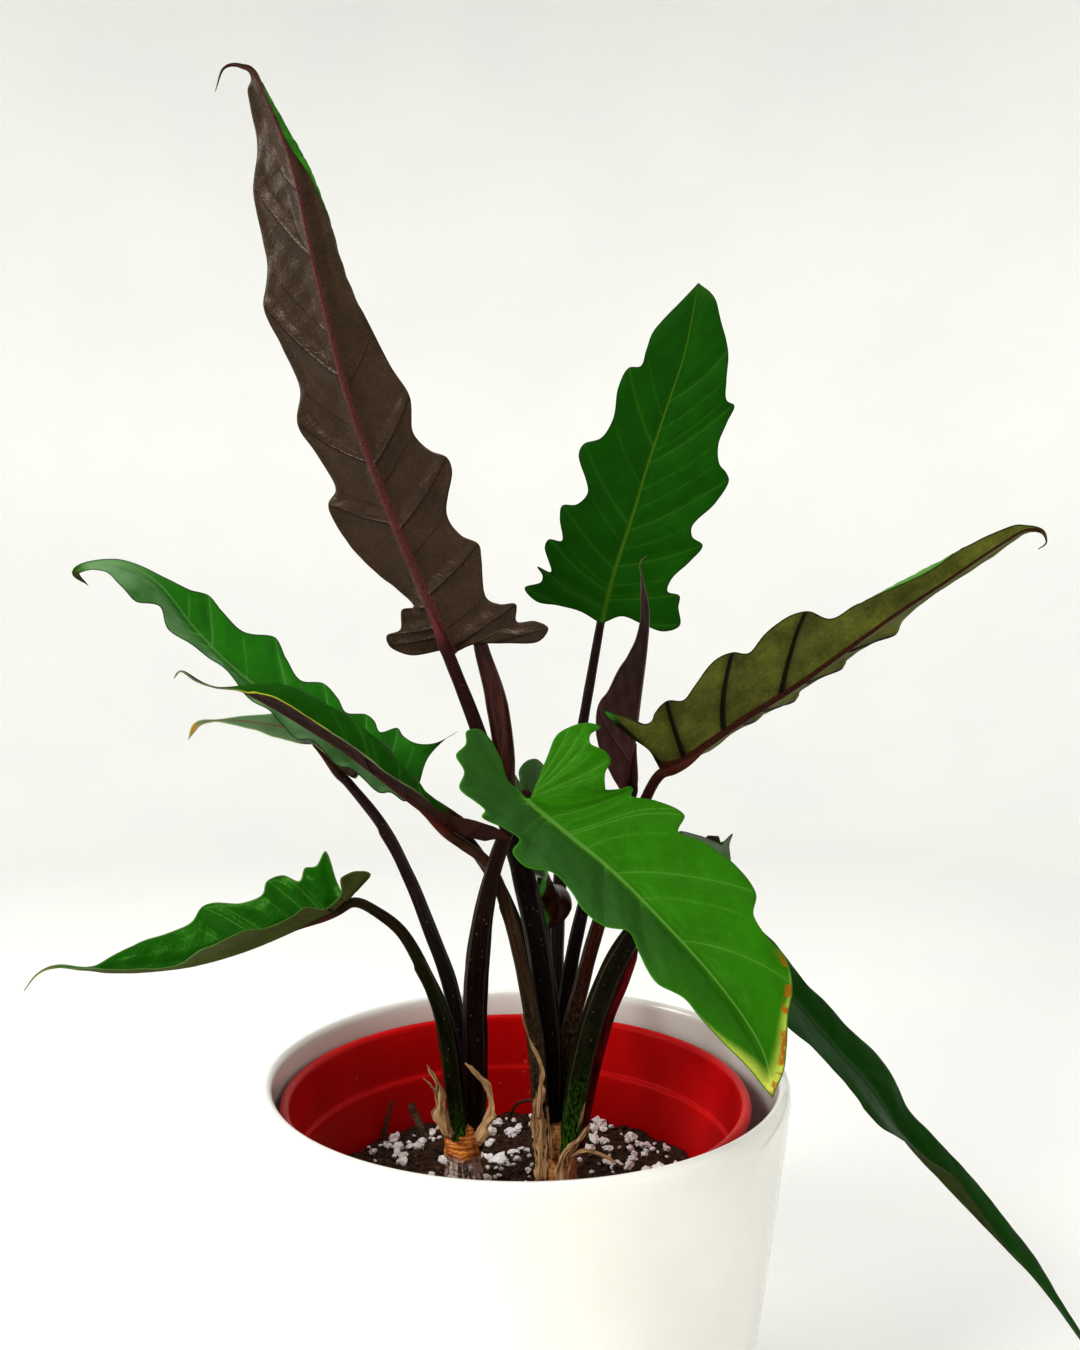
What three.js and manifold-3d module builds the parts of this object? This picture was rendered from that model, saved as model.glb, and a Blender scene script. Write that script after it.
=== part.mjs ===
// Potted alocasia with arrow-shaped leaves, in a red nursery pot inside a white cachepot.
// Millimetres, origin at the centre of the white pot's base, +Z up, +X to the viewer's right, +Y away.
import * as THREE from 'three';
import { ConvexGeometry } from 'three/addons/geometries/ConvexGeometry.js';
import { mergeVertices } from 'three/addons/utils/BufferGeometryUtils.js';
import Module from 'manifold-3d';

const wasm = await Module();
wasm.setup();

// Driving sizes
const GAP = 0.35;
const BLADE_THICK = 0.8;
const BLADE_WAVE = 1.5;
const BEND_REACH = 40;
const RIB_STEP = 12;
const RIB_TURN = 0.4;
const EDGE_MAX = 24;
const SPINE_BOW = 0.01;
const SNAP = 1e-6;
const TIP_CLEAR = 2.5;
const TAIL_FROM = -15;
const TAIL_REACH = 60;
const ROLL_EASE = 0.08;
const MITRE_LIMIT = 0.5;
const CURVE_STEPS = 24;
const BASE_TOP = 165;
const SOIL_TOP = 138;
const POT_SIDES = 44;
const INNER_SHIFT = -4.5;
const LEFT_BASE = [-29, 2];
const RIGHT_BASE = [14, 3];

// Vectors as plain arrays
const add = (a, b, k = 1) => a.map((x, i) => x + b[i] * k);
const dot = (a, b) => a[0] * b[0] + a[1] * b[1] + a[2] * b[2];
const cross = (a, b) => [
  a[1] * b[2] - a[2] * b[1],
  a[2] * b[0] - a[0] * b[2],
  a[0] * b[1] - a[1] * b[0],
];
const unit = (a) => a.map((x) => x / Math.hypot(...a));
const mix = (a, b, k) => a.map((x, i) => x + (b[i] - x) * k);
const clamp = (x, low, high) => Math.min(high, Math.max(low, x));

// Seeded random numbers, so that the soil is the same on every run
let seed = 20;
function random(low = 0, high = 1) {
  seed = (seed * 16807) % 2147483647;
  return low + ((high - low) * seed) / 2147483647;
}

// Leaf outlines. mid: midrib from the stalk to the tip. faces: direction of the upper side.
// fold, bend: how far the left and right halves rise and curl, in degrees.
// left, right: [distance along the midrib, distance out, 1 at a lobe or -1 at a notch],
// from the notch behind the stalk round the hind lobe to the tip.
const TALL = {
  mid: [
    [-34, 5, 389], [-56, 2, 440], [-78, -6, 500], [-92, -14, 558], [-102, -20, 605],
    [-115, -24, 637], [-122, -25.5, 642.5], [-129, -27, 641], [-132.5, -28, 631],
  ],
  faces: [[0, [0.25, 1, 0.35]], [0.6, [0.3, 1, 0.35]], [1, [0.3, 1, 0.3]]],
  fold: [[0, 8, 8], [0.6, 12, 12], [1, 20, 20]],
  bend: [[0, -12, -12], [1, -5, -5]],
  roll: { side: -1, from: 0.58, to: 0.93, turn: -150, start: 9, end: 12 },
  left: [
    [1, 3, -1], [1, 12, 0.2], [-4, 26, 0.3], [-9, 42, 0.7], [-5, 49, 1], [0, 44, 0],
    [3, 35, -0.8], [10, 39, 1], [13, 31, -0.2], [18, 26, -1], [35, 32, 0.4], [42, 34, 1],
    [50, 27, 0.2], [61, 24, -1], [79, 35, 0.6], [85, 35, 1], [91, 28, 0], [101, 23, -1],
    [117, 28, 1], [133, 23, 0], [150, 19, -1], [170, 20, 1], [187, 14, -0.2], [208, 9, 0.3],
    [233, 3, 0], [258, 1, 0.2], [267, 2, 0],
  ],
  right: [
    [4, 3, -1], [8, 20, 0.4], [16, 28, 0.8], [21, 27, 1], [21, 20, -0.2], [29, 14, 0.8],
    [28, 9, -1], [39, 13, 0], [47, 18, 0.5], [65, 27, 0.2], [85, 29, 1], [90, 24, -1],
    [107, 26, 0], [122, 30, 1], [136, 25, -1], [155, 28, 0], [174, 32, 1], [190, 27, -1],
    [225, 24, 1], [243, 16, -1], [264, 7, 0.3], [267, 2, 0],
  ],
};

const UPRIGHT = {
  mid: [
    [40, 104, 405], [47, 108, 433], [58, 115, 466], [68, 123, 498], [80, 132, 533],
    [90, 140, 563], [99, 152, 605],
  ],
  faces: [[0, [0.1, -1, 0.2]], [1, [0.1, -1, 0.2]]],
  fold: [[0, 8, 8], [1, 6, 6]],
  bend: [[0, 0, 0], [1, 0, 0]],
  left: [
    [1, 3, -1], [4, 13, 0], [4, 26, 0.2], [3, 38, 0.5], [9, 46, 1], [14, 38, -0.3], [17, 38, -1],
    [21, 42, 0.8], [20, 34, -1], [31, 41, 0.5], [35, 40, 1], [36, 33, -1], [47, 38, 0.3],
    [55, 39, 1], [58, 32, 0], [67, 28, -1], [87, 39, 0.6], [94, 38, 1], [100, 30, 0],
    [112, 27, -1], [132, 30, 0.2], [146, 28, 1], [149, 22, -0.3], [159, 22, -1], [174, 21, 0.3],
    [186, 16, 0.6], [200, 8, 0.2], [212, 2, 0],
  ],
  right: [
    [2, 2, -1], [7, 10, 0], [5, 23, 0.2], [4, 34, 0.6], [9, 42, 1], [19, 39, 0.3], [27, 38, 1],
    [27, 31, -0.6], [35, 31, -1], [49, 38, 0.2], [60, 42, 1], [62, 35, -0.4], [67, 33, -1],
    [84, 42, 0.2], [101, 46, 1], [105, 43, 0.5], [108, 38, -0.6], [119, 34, -1], [134, 35, 0.2],
    [147, 36, 1], [147, 31, -0.6], [158, 27, -1], [176, 24, 0.8], [192, 17, 0.2], [208, 10, 0.2],
    [214, 4, 0.1],
  ],
};

const LEFT_UPPER = {
  mid: [
    [-50, 14, 326], [-71, 13, 340], [-92, 12, 354], [-113, 10, 367], [-133, 8, 381],
    [-152, 5, 401], [-168, 2, 422], [-183, 0, 431], [-196, -2, 431], [-204, -4, 427],
    [-198, -5, 421],
  ],
  faces: [[0, [0.35, -0.75, 0.5]], [0.6, [0.3, -0.8, 0.5]], [1, [0.3, -0.8, 0.5]]],
  fold: [[0, 25, 15], [0.6, 25, 10], [1, 30, 10]],
  bend: [[0, 0, 0], [1, 0, 0]],
  left: [
    [2, 4, -1], [3, 13, 0.5], [11, 15, -0.5], [15, 18, 0.7], [32, 16, -0.6], [37, 18, 0.7],
    [55, 14, -0.6], [61, 17, 0.8], [79, 11, -0.8], [88, 10, 0.8], [104, 5, -0.8], [114, 6, 0.5],
    [125, 9, 0.3], [135, 13, 1], [145, 10, -0.8], [154, 19, 1], [169, 17, -0.3], [184, 5, 0],
    [193, 2, 0],
  ],
  right: [
    [2, 2, -1], [5, 15, 0.2], [3, 28, 0.5], [0, 35, 1], [6, 23, -0.4], [14, 17, -1],
    [21, 18, 0.5], [25, 20, 1], [31, 12, -1], [36, 16, 0.3], [41, 17, 1], [49, 11, -1],
    [56, 16, 0.3], [65, 19, 1], [75, 13, -1], [86, 19, 0.3], [99, 25, 1], [113, 15, -1],
    [128, 15, 0.3], [138, 15, 1], [145, 8, -1], [156, 4, 0.4], [170, 2, 0], [184, 2, 0.1],
    [193, 2, 0],
  ],
};

const LEFT_MIDDLE = {
  mid: [
    [-28, -10, 308], [-47, -15, 322], [-64, -19, 336], [-79, -23, 348], [-94, -26, 358],
    [-108, -29, 367], [-121, -31, 374], [-133, -33, 376], [-141, -34, 379], [-147, -35, 383],
    [-150, -36, 380],
  ],
  faces: [[0, [0.4, -0.05, 0.9]], [1, [0.4, -0.05, 0.9]]],
  fold: [[0, 26, 40], [0.6, 24, 38], [1, 15, 30]],
  bend: [[0, 0, 0], [1, 0, 0]],
  left: [
    [-2, 1, -1], [-1, 20, 0.5], [0, 41, 1], [2, 13, -0.4], [17, 8, -0.6], [30, 23, 0.6],
    [39, 14, -0.6], [48, 16, 0.6], [59, 12, -0.6], [70, 20, 0.7], [81, 15, -0.5], [92, 22, 0.5],
    [103, 20, -0.3], [110, 16, 0.2], [118, 1, 0], [129, 1, 0], [139, 2, 0],
  ],
  right: [
    [6, 1, -1], [1, 14, 0.3], [-5, 22, 1], [5, 13, -0.5], [12, 13, 0.5], [23, 8, -0.8],
    [31, 14, 0.7], [42, 12, -0.7], [49, 20, 1], [60, 16, -0.8], [72, 21, 0.8], [82, 17, -0.6],
    [93, 19, 0.6], [104, 15, -0.2], [112, 10, 0.2], [119, 4, 0], [129, 1, 0], [139, 2, 0],
  ],
};

const LEFT_BACK = {
  mid: [
    [-85, 30, 330], [-96, 28, 341], [-109, 25, 352], [-122, 22, 356], [-136, 20, 358],
    [-149, 18, 358], [-156, 17, 356], [-160, 16, 349],
  ],
  faces: [[0, [0.4, -0.2, 0.9]], [0.5, [0.3, -0.45, 0.85]], [1, [0.3, -0.45, 0.85]]],
  fold: [[0, 50, 30], [0.3, 30, 30], [0.5, 5, 25], [1, 5, 20]],
  bend: [[0, 0, 0], [1, 0, 0]],
  left: [
    [-2, 2, -1], [1, 19, 1], [6, 10, -0.6], [13, 12, 0.4], [20, 1, -0.3], [29, 26, 0.8],
    [42, 14, -0.3], [52, 7, 0.4], [62, 5, 0], [73, 1, 0], [81, 2, 0],
  ],
  right: [
    [2, 3, -1], [2, 15, 0.6], [1, 21, 1], [10, 11, -0.7], [19, 12, 0.7], [29, 7, -0.6],
    [35, 9, 0.7], [44, 7, -0.5], [52, 6, 0.5], [62, 3, 0], [72, 1, 0], [81, 2, 0],
  ],
};

const LEFT_LOWER = {
  mid: [
    [-76, -42, 286], [-86, -44, 281], [-101, -47, 274], [-119, -50, 267], [-139, -53, 262],
    [-161, -55, 260], [-181, -56, 261], [-192, -57, 262], [-200, -58, 259], [-206, -58, 252],
  ],
  faces: [[0, [0.3, -0.3, 0.9]], [1, [0.2, -0.3, 0.9]]],
  fold: [[0, 57, 38], [0.5, 52, 36], [0.8, 40, 30], [1, 20, 20]],
  bend: [[0, 0, 0], [1, 0, 0]],
  left: [
    [-2, 1, -1], [-8, 11, 0.4], [-15, 23, 1], [-10, 33, 0.5], [-5, 33, 0.3], [1, 10, -0.6],
    [8, 9, 0.7], [15, 19, -0.5], [22, 19, 0.5], [32, 17, -0.2], [41, 23, -0.5], [51, 23, 0.5],
    [61, 17, -0.2], [73, 6, 0.3], [87, 6, 0], [107, 7, 0], [126, 1, 0],
  ],
  right: [
    [0, 3, -1], [0, 10, 0.2], [-1, 25, 1], [5, 20, 0.2], [10, 22, 0.5], [14, 16, -1],
    [20, 24, 0.8], [28, 25, 1], [32, 18, -0.8], [42, 19, -0.4], [55, 25, 0.8], [61, 25, 1],
    [67, 17, -0.8], [80, 15, 0], [91, 13, 0.4], [101, 7, 0], [109, 1, 0], [126, 1, 0],
  ],
};

const FRONT = {
  mid: [
    [0, -20, 326], [19, -30, 312], [39, -42, 297], [60, -60, 278], [75, -74, 263],
    [87, -86, 248], [93, -92, 236], [95, -95, 222],
  ],
  faces: [[0, [0.17, -0.74, 0.65]], [1, [0.17, -0.74, 0.65]]],
  fold: [[0, 26, 26], [0.7, 26, 26], [1, 15, 15]],
  bend: [[0, -8, -12], [0.5, -10, -12], [1, -5, -5]],
  tail: [0.05, 0.3, 0.95],
  left: [
    [0, 2, -1], [-8, 5, 0], [-19, 9, 0.1], [-29, 13, 0.4], [-33, 19, 0.7], [-35, 27, 1],
    [-33, 33, 1], [-29, 28, -0.5], [-25, 28, -1], [-22, 35, 0.4], [-18, 38, 1], [-11, 35, -1],
    [14, 37, 0.6], [28, 35, 1], [34, 30, -1], [44, 36, 0.2], [52, 40, 0.8], [55, 40, 1],
    [59, 31, -1], [68, 36, 0], [85, 39, 0.5], [98, 37, 1], [105, 28, -1], [114, 27, 0.1],
    [123, 28, 0.6], [132, 24, 1], [141, 14, -0.3], [149, 9, 0.4], [156, 5, -0.2], [163, 3, 0],
  ],
  right: [
    [-3, 3, -1], [-7, 9, 0], [-17, 14, 0.2], [-25, 20, 0.5], [-28, 25, 1], [-26, 31, 0.6],
    [-20, 31, -0.4], [-15, 35, 1], [-8, 31, -1], [-3, 33, 1], [1, 29, 0], [7, 28, -1],
    [9, 31, 1], [15, 27, 0], [21, 26, -1], [24, 33, 0.8], [30, 34, 1], [38, 28, -0.8],
    [49, 28, 0], [64, 31, 0.5], [74, 28, 1], [82, 22, -1], [92, 25, 0.1], [106, 28, 0.8],
    [117, 22, 0.2], [128, 21, -0.5], [142, 15, 0.4], [155, 7, 0], [162, 2, 0],
  ],
};

const RIGHT = {
  mid: [
    [62, -5, 338], [74, -7, 344], [96, -11, 360], [120, -15, 376], [141, -19, 392],
    [162, -23, 408], [182, -27, 422], [200, -30, 435], [213, -32, 443], [221, -33, 443],
    [223, -34, 438], [219, -35, 435],
  ],
  faces: [[0, [-0.4, 0.75, 0.5]], [1, [-0.4, 0.75, 0.5]]],
  fold: [[0, 26, 5], [0.35, 30, 8], [0.6, 20, 10], [1, 24, 15]],
  bend: [[0, 0, 0], [1, 0, 0]],
  roll: { side: 1, from: 0.52, to: 0.8, turn: -150, start: 10, end: 13 },
  left: [
    [2, 13, -1], [13, 4, 0.3], [23, 15, -0.3], [37, 11, 0], [47, 12, 1], [50, 18, -1],
    [59, 19, 0], [67, 22, 1], [70, 23, -1], [81, 16, 0], [92, 19, 1], [95, 20, -1],
    [108, 14, 0.2], [120, 19, 1], [125, 17, -1], [138, 6, 0.2], [151, 6, 0.2], [171, 8, 0.2],
    [184, 5, 0], [189, 2, 0],
  ],
  right: [
    [-1, 4, -1], [-1, 14, 0], [-5, 26, 0.2], [-8, 37, 0.6], [-9, 48, 1], [-4, 40, 0],
    [0, 34, -0.2], [3, 27, -1], [13, 33, 0], [22, 36, 0.9], [28, 28, -1], [37, 33, 0],
    [47, 38, 0.5], [55, 37, 1], [61, 29, -1], [72, 34, 0], [84, 35, 0.4], [93, 32, 1],
    [100, 17, -1], [114, 15, 0], [130, 12, 0.5], [146, 10, 0.2], [159, 8, 0], [174, 7, 0.2],
    [185, 4, 0], [189, 2, 0],
  ],
};

const YOUNG = {
  mid: [
    [47, 25, 323], [51, 25, 345], [54, 24, 368], [57, 23, 392], [58, 22, 410], [55, 21, 426],
    [54, 21, 433], [58, 20, 437],
  ],
  faces: [[0, [-1, -0.25, 0]], [1, [-1, -0.25, 0]]],
  fold: [[0, 58, 52], [0.7, 60, 55], [1, 35, 35]],
  bend: [[0, 0, 0], [1, 0, 0]],
  left: [
    [2, 2, 0], [11, 11, 0.2], [23, 17, 0.3], [38, 20, 0.8], [48, 15, 0], [56, 13, 0.3],
    [66, 8, 0], [78, 5, 0], [94, 4, 0], [107, 1, 0],
  ],
  right: [
    [1, 6, 0], [13, 22, 0.2], [26, 33, 0.3], [42, 37, 0.8], [50, 28, 0], [58, 24, 0.3],
    [67, 16, 0], [78, 10, 0], [95, 8, 0], [107, 2, 0],
  ],
};

const TRAILING = {
  mid: [
    [92, 18, 299], [95, 17, 282], [104, 15, 259], [122, 12, 234], [144, 9, 208], [162, 6, 188],
    [177, 4, 164], [196, 2, 143], [220, 0, 118], [243, -2, 92], [264, -4, 64],
  ],
  faces: [[0, [0.3, -0.35, 0.9]], [0.25, [0.5, -0.6, 0.6]], [1, [0.5, -0.6, 0.6]]],
  fold: [[0, 10, 10], [0.45, 12, 15], [0.62, 12, 70], [0.85, 12, 70], [1, 20, 30]],
  bend: [[0, 0, 0], [1, 0, 0]],
  left: [
    [-1, 1, -1], [-3, 12, 1], [2, 6, -0.2], [14, 7, 0.4], [30, 10, 0.5], [44, 8, -0.5],
    [58, 12, 0.3], [72, 12, 0.6], [81, 10, -0.5], [94, 13, 0.3], [111, 13, 0.2], [125, 15, 0.5],
    [141, 15, 0.8], [155, 12, 0.2], [168, 13, -0.5], [183, 14, 0], [204, 14, 0.3], [224, 11, 0],
    [246, 9, 0.2], [266, 4, 0], [283, 2, 0],
  ],
  right: [
    [-3, 7, -1], [-8, 19, 0.3], [-13, 37, 1], [-5, 28, 0], [4, 21, -0.3], [16, 22, 0.4],
    [32, 23, -0.3], [47, 23, 0.5], [63, 25, -0.3], [80, 24, 0.5], [97, 20, -0.3], [113, 18, 0.2],
    [131, 20, 0.4], [143, 26, 0.4], [166, 14, 0.2], [183, 15, 0], [195, 14, 0.3], [221, 6, 0.2],
    [240, 1, 0], [260, 1, 0], [281, 3, 0],
  ],
};

const INNER = {
  hangs: true,
  mid: [
    [0, 25, 317], [4, 22, 304], [9, 19, 287], [14, 17, 274], [10, 15, 263],
  ],
  faces: [
    [0, [0, -1, 0.25]], [0.35, [-0.2, -1, 0.1]], [0.6, [-1, 0.1, 0]], [0.8, [-0.3, 1, 0.2]],
    [1, [0, 1, 0.2]],
  ],
  fold: [[0, 8, 8], [1, 25, 25]],
  bend: [[0, 0, 0], [1, 25, 25]],
  left: [
    [-2, 2, -1], [-10, 7, 0.3], [-17, 12, 1], [-12, 15, -0.4], [-6, 18, 0.8], [6, 15, -0.6],
    [15, 16, 0.8], [26, 12, -0.6], [35, 13, 0.8], [46, 9, -0.5], [53, 5, 0.3],
  ],
  right: [
    [-2, 2, -1], [-10, 7, 0.3], [-17, 12, 1], [-12, 15, -0.4], [-6, 18, 0.8], [6, 15, -0.6],
    [15, 16, 0.8], [26, 12, -0.6], [35, 13, 0.8], [46, 9, -0.5], [53, 5, 0.3],
  ],
};

// A smooth curve through the points, with its length and tangent
function curve(points) {
  const first = add(points[0], points[1], -1);
  const last = add(points.at(-1), points.at(-2), -1);
  const knots = [add(points[0], first), ...points, add(points.at(-1), last)];
  const line = [];
  for (let i = 1; i < knots.length - 2; i += 1) {
    const [a, b, c, d] = knots.slice(i - 1, i + 3);
    for (let k = 0; k < CURVE_STEPS; k += 1) {
      const t = k / CURVE_STEPS;
      line.push(b.map((_, j) => 0.5 * (2 * b[j] + (c[j] - a[j]) * t
        + (2 * a[j] - 5 * b[j] + 4 * c[j] - d[j]) * t * t
        + (3 * b[j] - a[j] - 3 * c[j] + d[j]) * t ** 3)));
    }
  }
  line.push(points.at(-1));
  const reach = [0];
  for (let i = 1; i < line.length; i += 1) {
    reach.push(reach[i - 1] + Math.hypot(...add(line[i], line[i - 1], -1)));
  }
  const tangents = line.map((_, i) => {
    const ahead = line[Math.min(i + 1, line.length - 1)];
    return unit(add(ahead, line[Math.max(i - 1, 0)], -1));
  });
  return { line, reach, tangents, length: reach.at(-1) };
}

function along(path, s) {
  const { line, reach, tangents, length } = path;
  if (s <= 0) return { p: add(line[0], tangents[0], s), t: tangents[0] };
  if (s >= length) return { p: add(line.at(-1), tangents.at(-1), s - length), t: tangents.at(-1) };
  const i = reach.findIndex((r) => r > s) - 1;
  const k = (s - reach[i]) / (reach[i + 1] - reach[i]);
  return { p: mix(line[i], line[i + 1], k), t: unit(mix(tangents[i], tangents[i + 1], k)) };
}

// Value of a table of rows [position, ...values] at position x
function read(table, x) {
  const i = clamp(table.findIndex((row) => row[0] > x), 0, table.length) || table.length - 1;
  const [low, high] = [table[i - 1], table[i]];
  const k = clamp((x - low[0]) / (high[0] - low[0]), 0, 1);
  return mix(low.slice(1), high.slice(1), k);
}

function solid(points, faces) {
  const build = (tris) => new wasm.Manifold(new wasm.Mesh({
    numProp: 3,
    vertProperties: new Float32Array(points.flat()),
    triVerts: new Uint32Array(tris.flat()),
  }));
  const body = build(faces);
  return body.volume() > 0 ? body : build(faces.map(([a, b, c]) => [a, c, b]));
}

// A leaf's data with its midrib as a curve
const ready = (shape) => ({ ...shape, rib: curve(shape.mid), tail: shape.tail && unit(shape.tail) });

// Frame of a leaf at distance s along its midrib
function leafFrame(leaf, s) {
  const { rib, faces, tail } = leaf;
  let { p, t } = along(rib, s);
  const f = clamp(s / rib.length, 0, 1);
  if (tail) {
    if (s < 0) p = add(rib.line[0], tail, -s);
    const k = clamp((s - TAIL_FROM) / TAIL_REACH, 0, 1);
    const ease = k * k * (3 - 2 * k);
    t = unit(add(t.map((x) => x * ease), tail, ease - 1));
  }
  const face = read(faces.map(([at, v]) => [at, ...v]), f);
  const n = unit(add(face, t, -dot(face, t)));
  return { p, t, n, b: cross(t, n), f };
}

// Point of a leaf and the direction of its upper side there
function leafPoint(leaf, side, s, w, wave) {
  const { p, n, b, f } = leafFrame(leaf, s);
  const pick = side < 0 ? 0 : 1;
  const fold = THREE.MathUtils.degToRad(read(leaf.fold, f)[pick]);
  const bend = THREE.MathUtils.degToRad(read(leaf.bend, f)[pick]);
  const { roll } = leaf;
  const angle = (out) => {
    let a = fold + (bend * out) / BEND_REACH;
    if (roll && roll.side === side) {
      const near = clamp(Math.min(f - roll.from, roll.to - f) / ROLL_EASE, 0, 1);
      const edge = clamp((out - roll.start) / (roll.end - roll.start), 0, 1);
      a += THREE.MathUtils.degToRad(roll.turn) * near * edge;
    }
    return a;
  };
  const steps = 8;
  let point = p;
  for (let i = 0; i < steps; i += 1) {
    const a = angle(((i + 0.5) / steps) * w);
    point = add(point, b, (Math.cos(a) * side * w) / steps);
    point = add(point, n, (Math.sin(a) * w) / steps);
  }
  const a = angle(w);
  const up = add(n.map((x) => x * Math.cos(a)), b, -Math.sin(a) * side);
  return { p: add(point, n, -BLADE_WAVE * wave), up };
}

// Cuts the triangles along the line where coordinate `axis` is `level`
function slice(points, faces, axis, level) {
  const cuts = new Map();
  const cut = (a, b) => {
    const key = a < b ? `${a},${b}` : `${b},${a}`;
    if (!cuts.has(key)) {
      const k = (level - points[a][axis]) / (points[b][axis] - points[a][axis]);
      cuts.set(key, points.push(mix(points[a], points[b], k)) - 1);
    }
    return cuts.get(key);
  };
  return faces.flatMap((face) => {
    const high = face.map((i) => points[i][axis] > level + SNAP);
    const low = face.map((i) => points[i][axis] < level - SNAP);
    if (!high.includes(true) || !low.includes(true)) return [face];
    const on = face.findIndex((_, i) => !high[i] && !low[i]);
    const alone = high.filter(Boolean).length === 1 ? high.indexOf(true) : low.indexOf(true);
    const first = on < 0 ? alone : on;
    const [a, b, c] = [0, 1, 2].map((i) => face[(first + i) % 3]);
    if (on >= 0) return [[a, b, cut(b, c)], [a, cut(b, c), c]];
    return [[a, cut(a, b), cut(a, c)], [cut(a, b), b, c], [cut(a, b), c, cut(a, c)]];
  });
}

// Halves the longest edges until none is longer than the limit
function refine(points, faces, limit) {
  const span = (a, b) => Math.hypot(points[a][0] - points[b][0], points[a][1] - points[b][1]);
  for (;;) {
    let [worst, edge] = [limit, null];
    faces.forEach((face) => face.forEach((a, i) => {
      const b = face[(i + 1) % 3];
      if (span(a, b) > worst) [worst, edge] = [span(a, b), [a, b]];
    }));
    if (!edge) return faces;
    const middle = points.push(mix(points[edge[0]], points[edge[1]], 0.5)) - 1;
    faces = faces.flatMap((face) => {
      const i = face.findIndex((a, k) => edge.includes(a) && edge.includes(face[(k + 1) % 3]));
      if (i < 0) return [face];
      const [a, b, c] = [0, 1, 2].map((k) => face[(i + k) % 3]);
      return [[a, middle, c], [middle, b, c]];
    });
  }
}

// Turns inner edges until the triangles are as plump as they can be
function relax(flat, faces) {
  const angle = (at, a, b) => {
    const [u, v] = [flat[a].clone().sub(flat[at]), flat[b].clone().sub(flat[at])];
    return Math.abs(Math.atan2(u.cross(v), u.dot(v)));
  };
  const turnOne = () => {
    const seen = new Map();
    for (let f = 0; f < faces.length; f += 1) {
      for (let i = 0; i < 3; i += 1) {
        const [a, b, c] = [0, 1, 2].map((k) => faces[f][(i + k) % 3]);
        const [g, d] = seen.get(`${b},${a}`) ?? [];
        if (d !== undefined && angle(c, a, b) + angle(d, a, b) > Math.PI + 1e-4) {
          faces[f] = [a, d, c];
          faces[g] = [d, b, c];
          return true;
        }
        seen.set(`${a},${b}`, [f, c]);
      }
    }
    return false;
  };
  while (turnOne());
}

// Places along the midrib, closer together where it bends
function ribPlaces(rib) {
  const places = [0];
  for (let s = 1; s < rib.length - 2; s += 1) {
    const from = places.at(-1);
    const turn = Math.acos(clamp(dot(along(rib, from).t, along(rib, s).t), -1, 1));
    if (s - from >= RIB_STEP || turn > RIB_TURN) places.push(s);
  }
  return [...places, rib.length];
}

// A thin convex wedge of leaf between the two faces of a triangle
function wedge(face, nodes) {
  const corners = [1, -1].flatMap((k) => face.map((i) => {
    const { p, up } = nodes[i];
    return new THREE.Vector3(...add(p, up, (k * BLADE_THICK) / 2));
  }));
  const hull = new ConvexGeometry(corners);
  hull.deleteAttribute('normal');
  const { index, attributes } = mergeVertices(hull, 1e-5);
  return new wasm.Manifold(new wasm.Mesh({
    numProp: 3,
    vertProperties: new Float32Array(attributes.position.array),
    triVerts: new Uint32Array(index.array),
  }));
}

// A leaf blade: both halves share the midrib, and the two faces have the same triangles
function blade(shape) {
  const leaf = ready(shape);
  const spine = ribPlaces(leaf.rib).map((s) => [s, 0, 0]);
  const nodes = spine.map(([s]) => {
    const [left, right] = [leafPoint(leaf, -1, s, 0, 0), leafPoint(leaf, 1, s, 0, 0)];
    const up = unit(add(left.up, right.up));
    const widen = 1 / Math.max(MITRE_LIMIT, dot(up, left.up));
    return { p: left.p, up: up.map((x) => x * widen) };
  });
  const faces = [];
  [[-1, shape.left], [1, shape.right]].forEach(([side, outline]) => {
    const edge = outline.filter(([s]) => s < leaf.rib.length - TIP_CLEAR);
    const points = [...spine, ...edge.toReversed()];
    const flat = points.map(([s, w], i) => {
      const bow = i < spine.length ? Math.sin((s / leaf.rib.length) * Math.PI) : 0;
      return new THREE.Vector2(s, w + SPINE_BOW * bow);
    });
    let triangles = THREE.ShapeUtils.triangulateShape(flat, []);
    relax(flat, triangles);
    triangles = refine(points, triangles, EDGE_MAX);
    const { start, end } = leaf.roll?.side === side ? leaf.roll : {};
    const creases = start ? [start, (start + end) / 2, end] : [];
    creases.forEach((out) => {
      triangles = slice(points, triangles, 1, out);
    });
    const ids = points.map(([s, w, wave], i) => {
      return i < spine.length ? i : nodes.push(leafPoint(leaf, side, s, w, wave)) - 1;
    });
    triangles.forEach(([a, b, c]) => {
      faces.push(side < 0 ? [ids[a], ids[b], ids[c]] : [ids[a], ids[c], ids[b]]);
    });
  });
  return largest(wasm.Manifold.union(faces.map((face) => wedge(face, nodes))));
}

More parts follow.
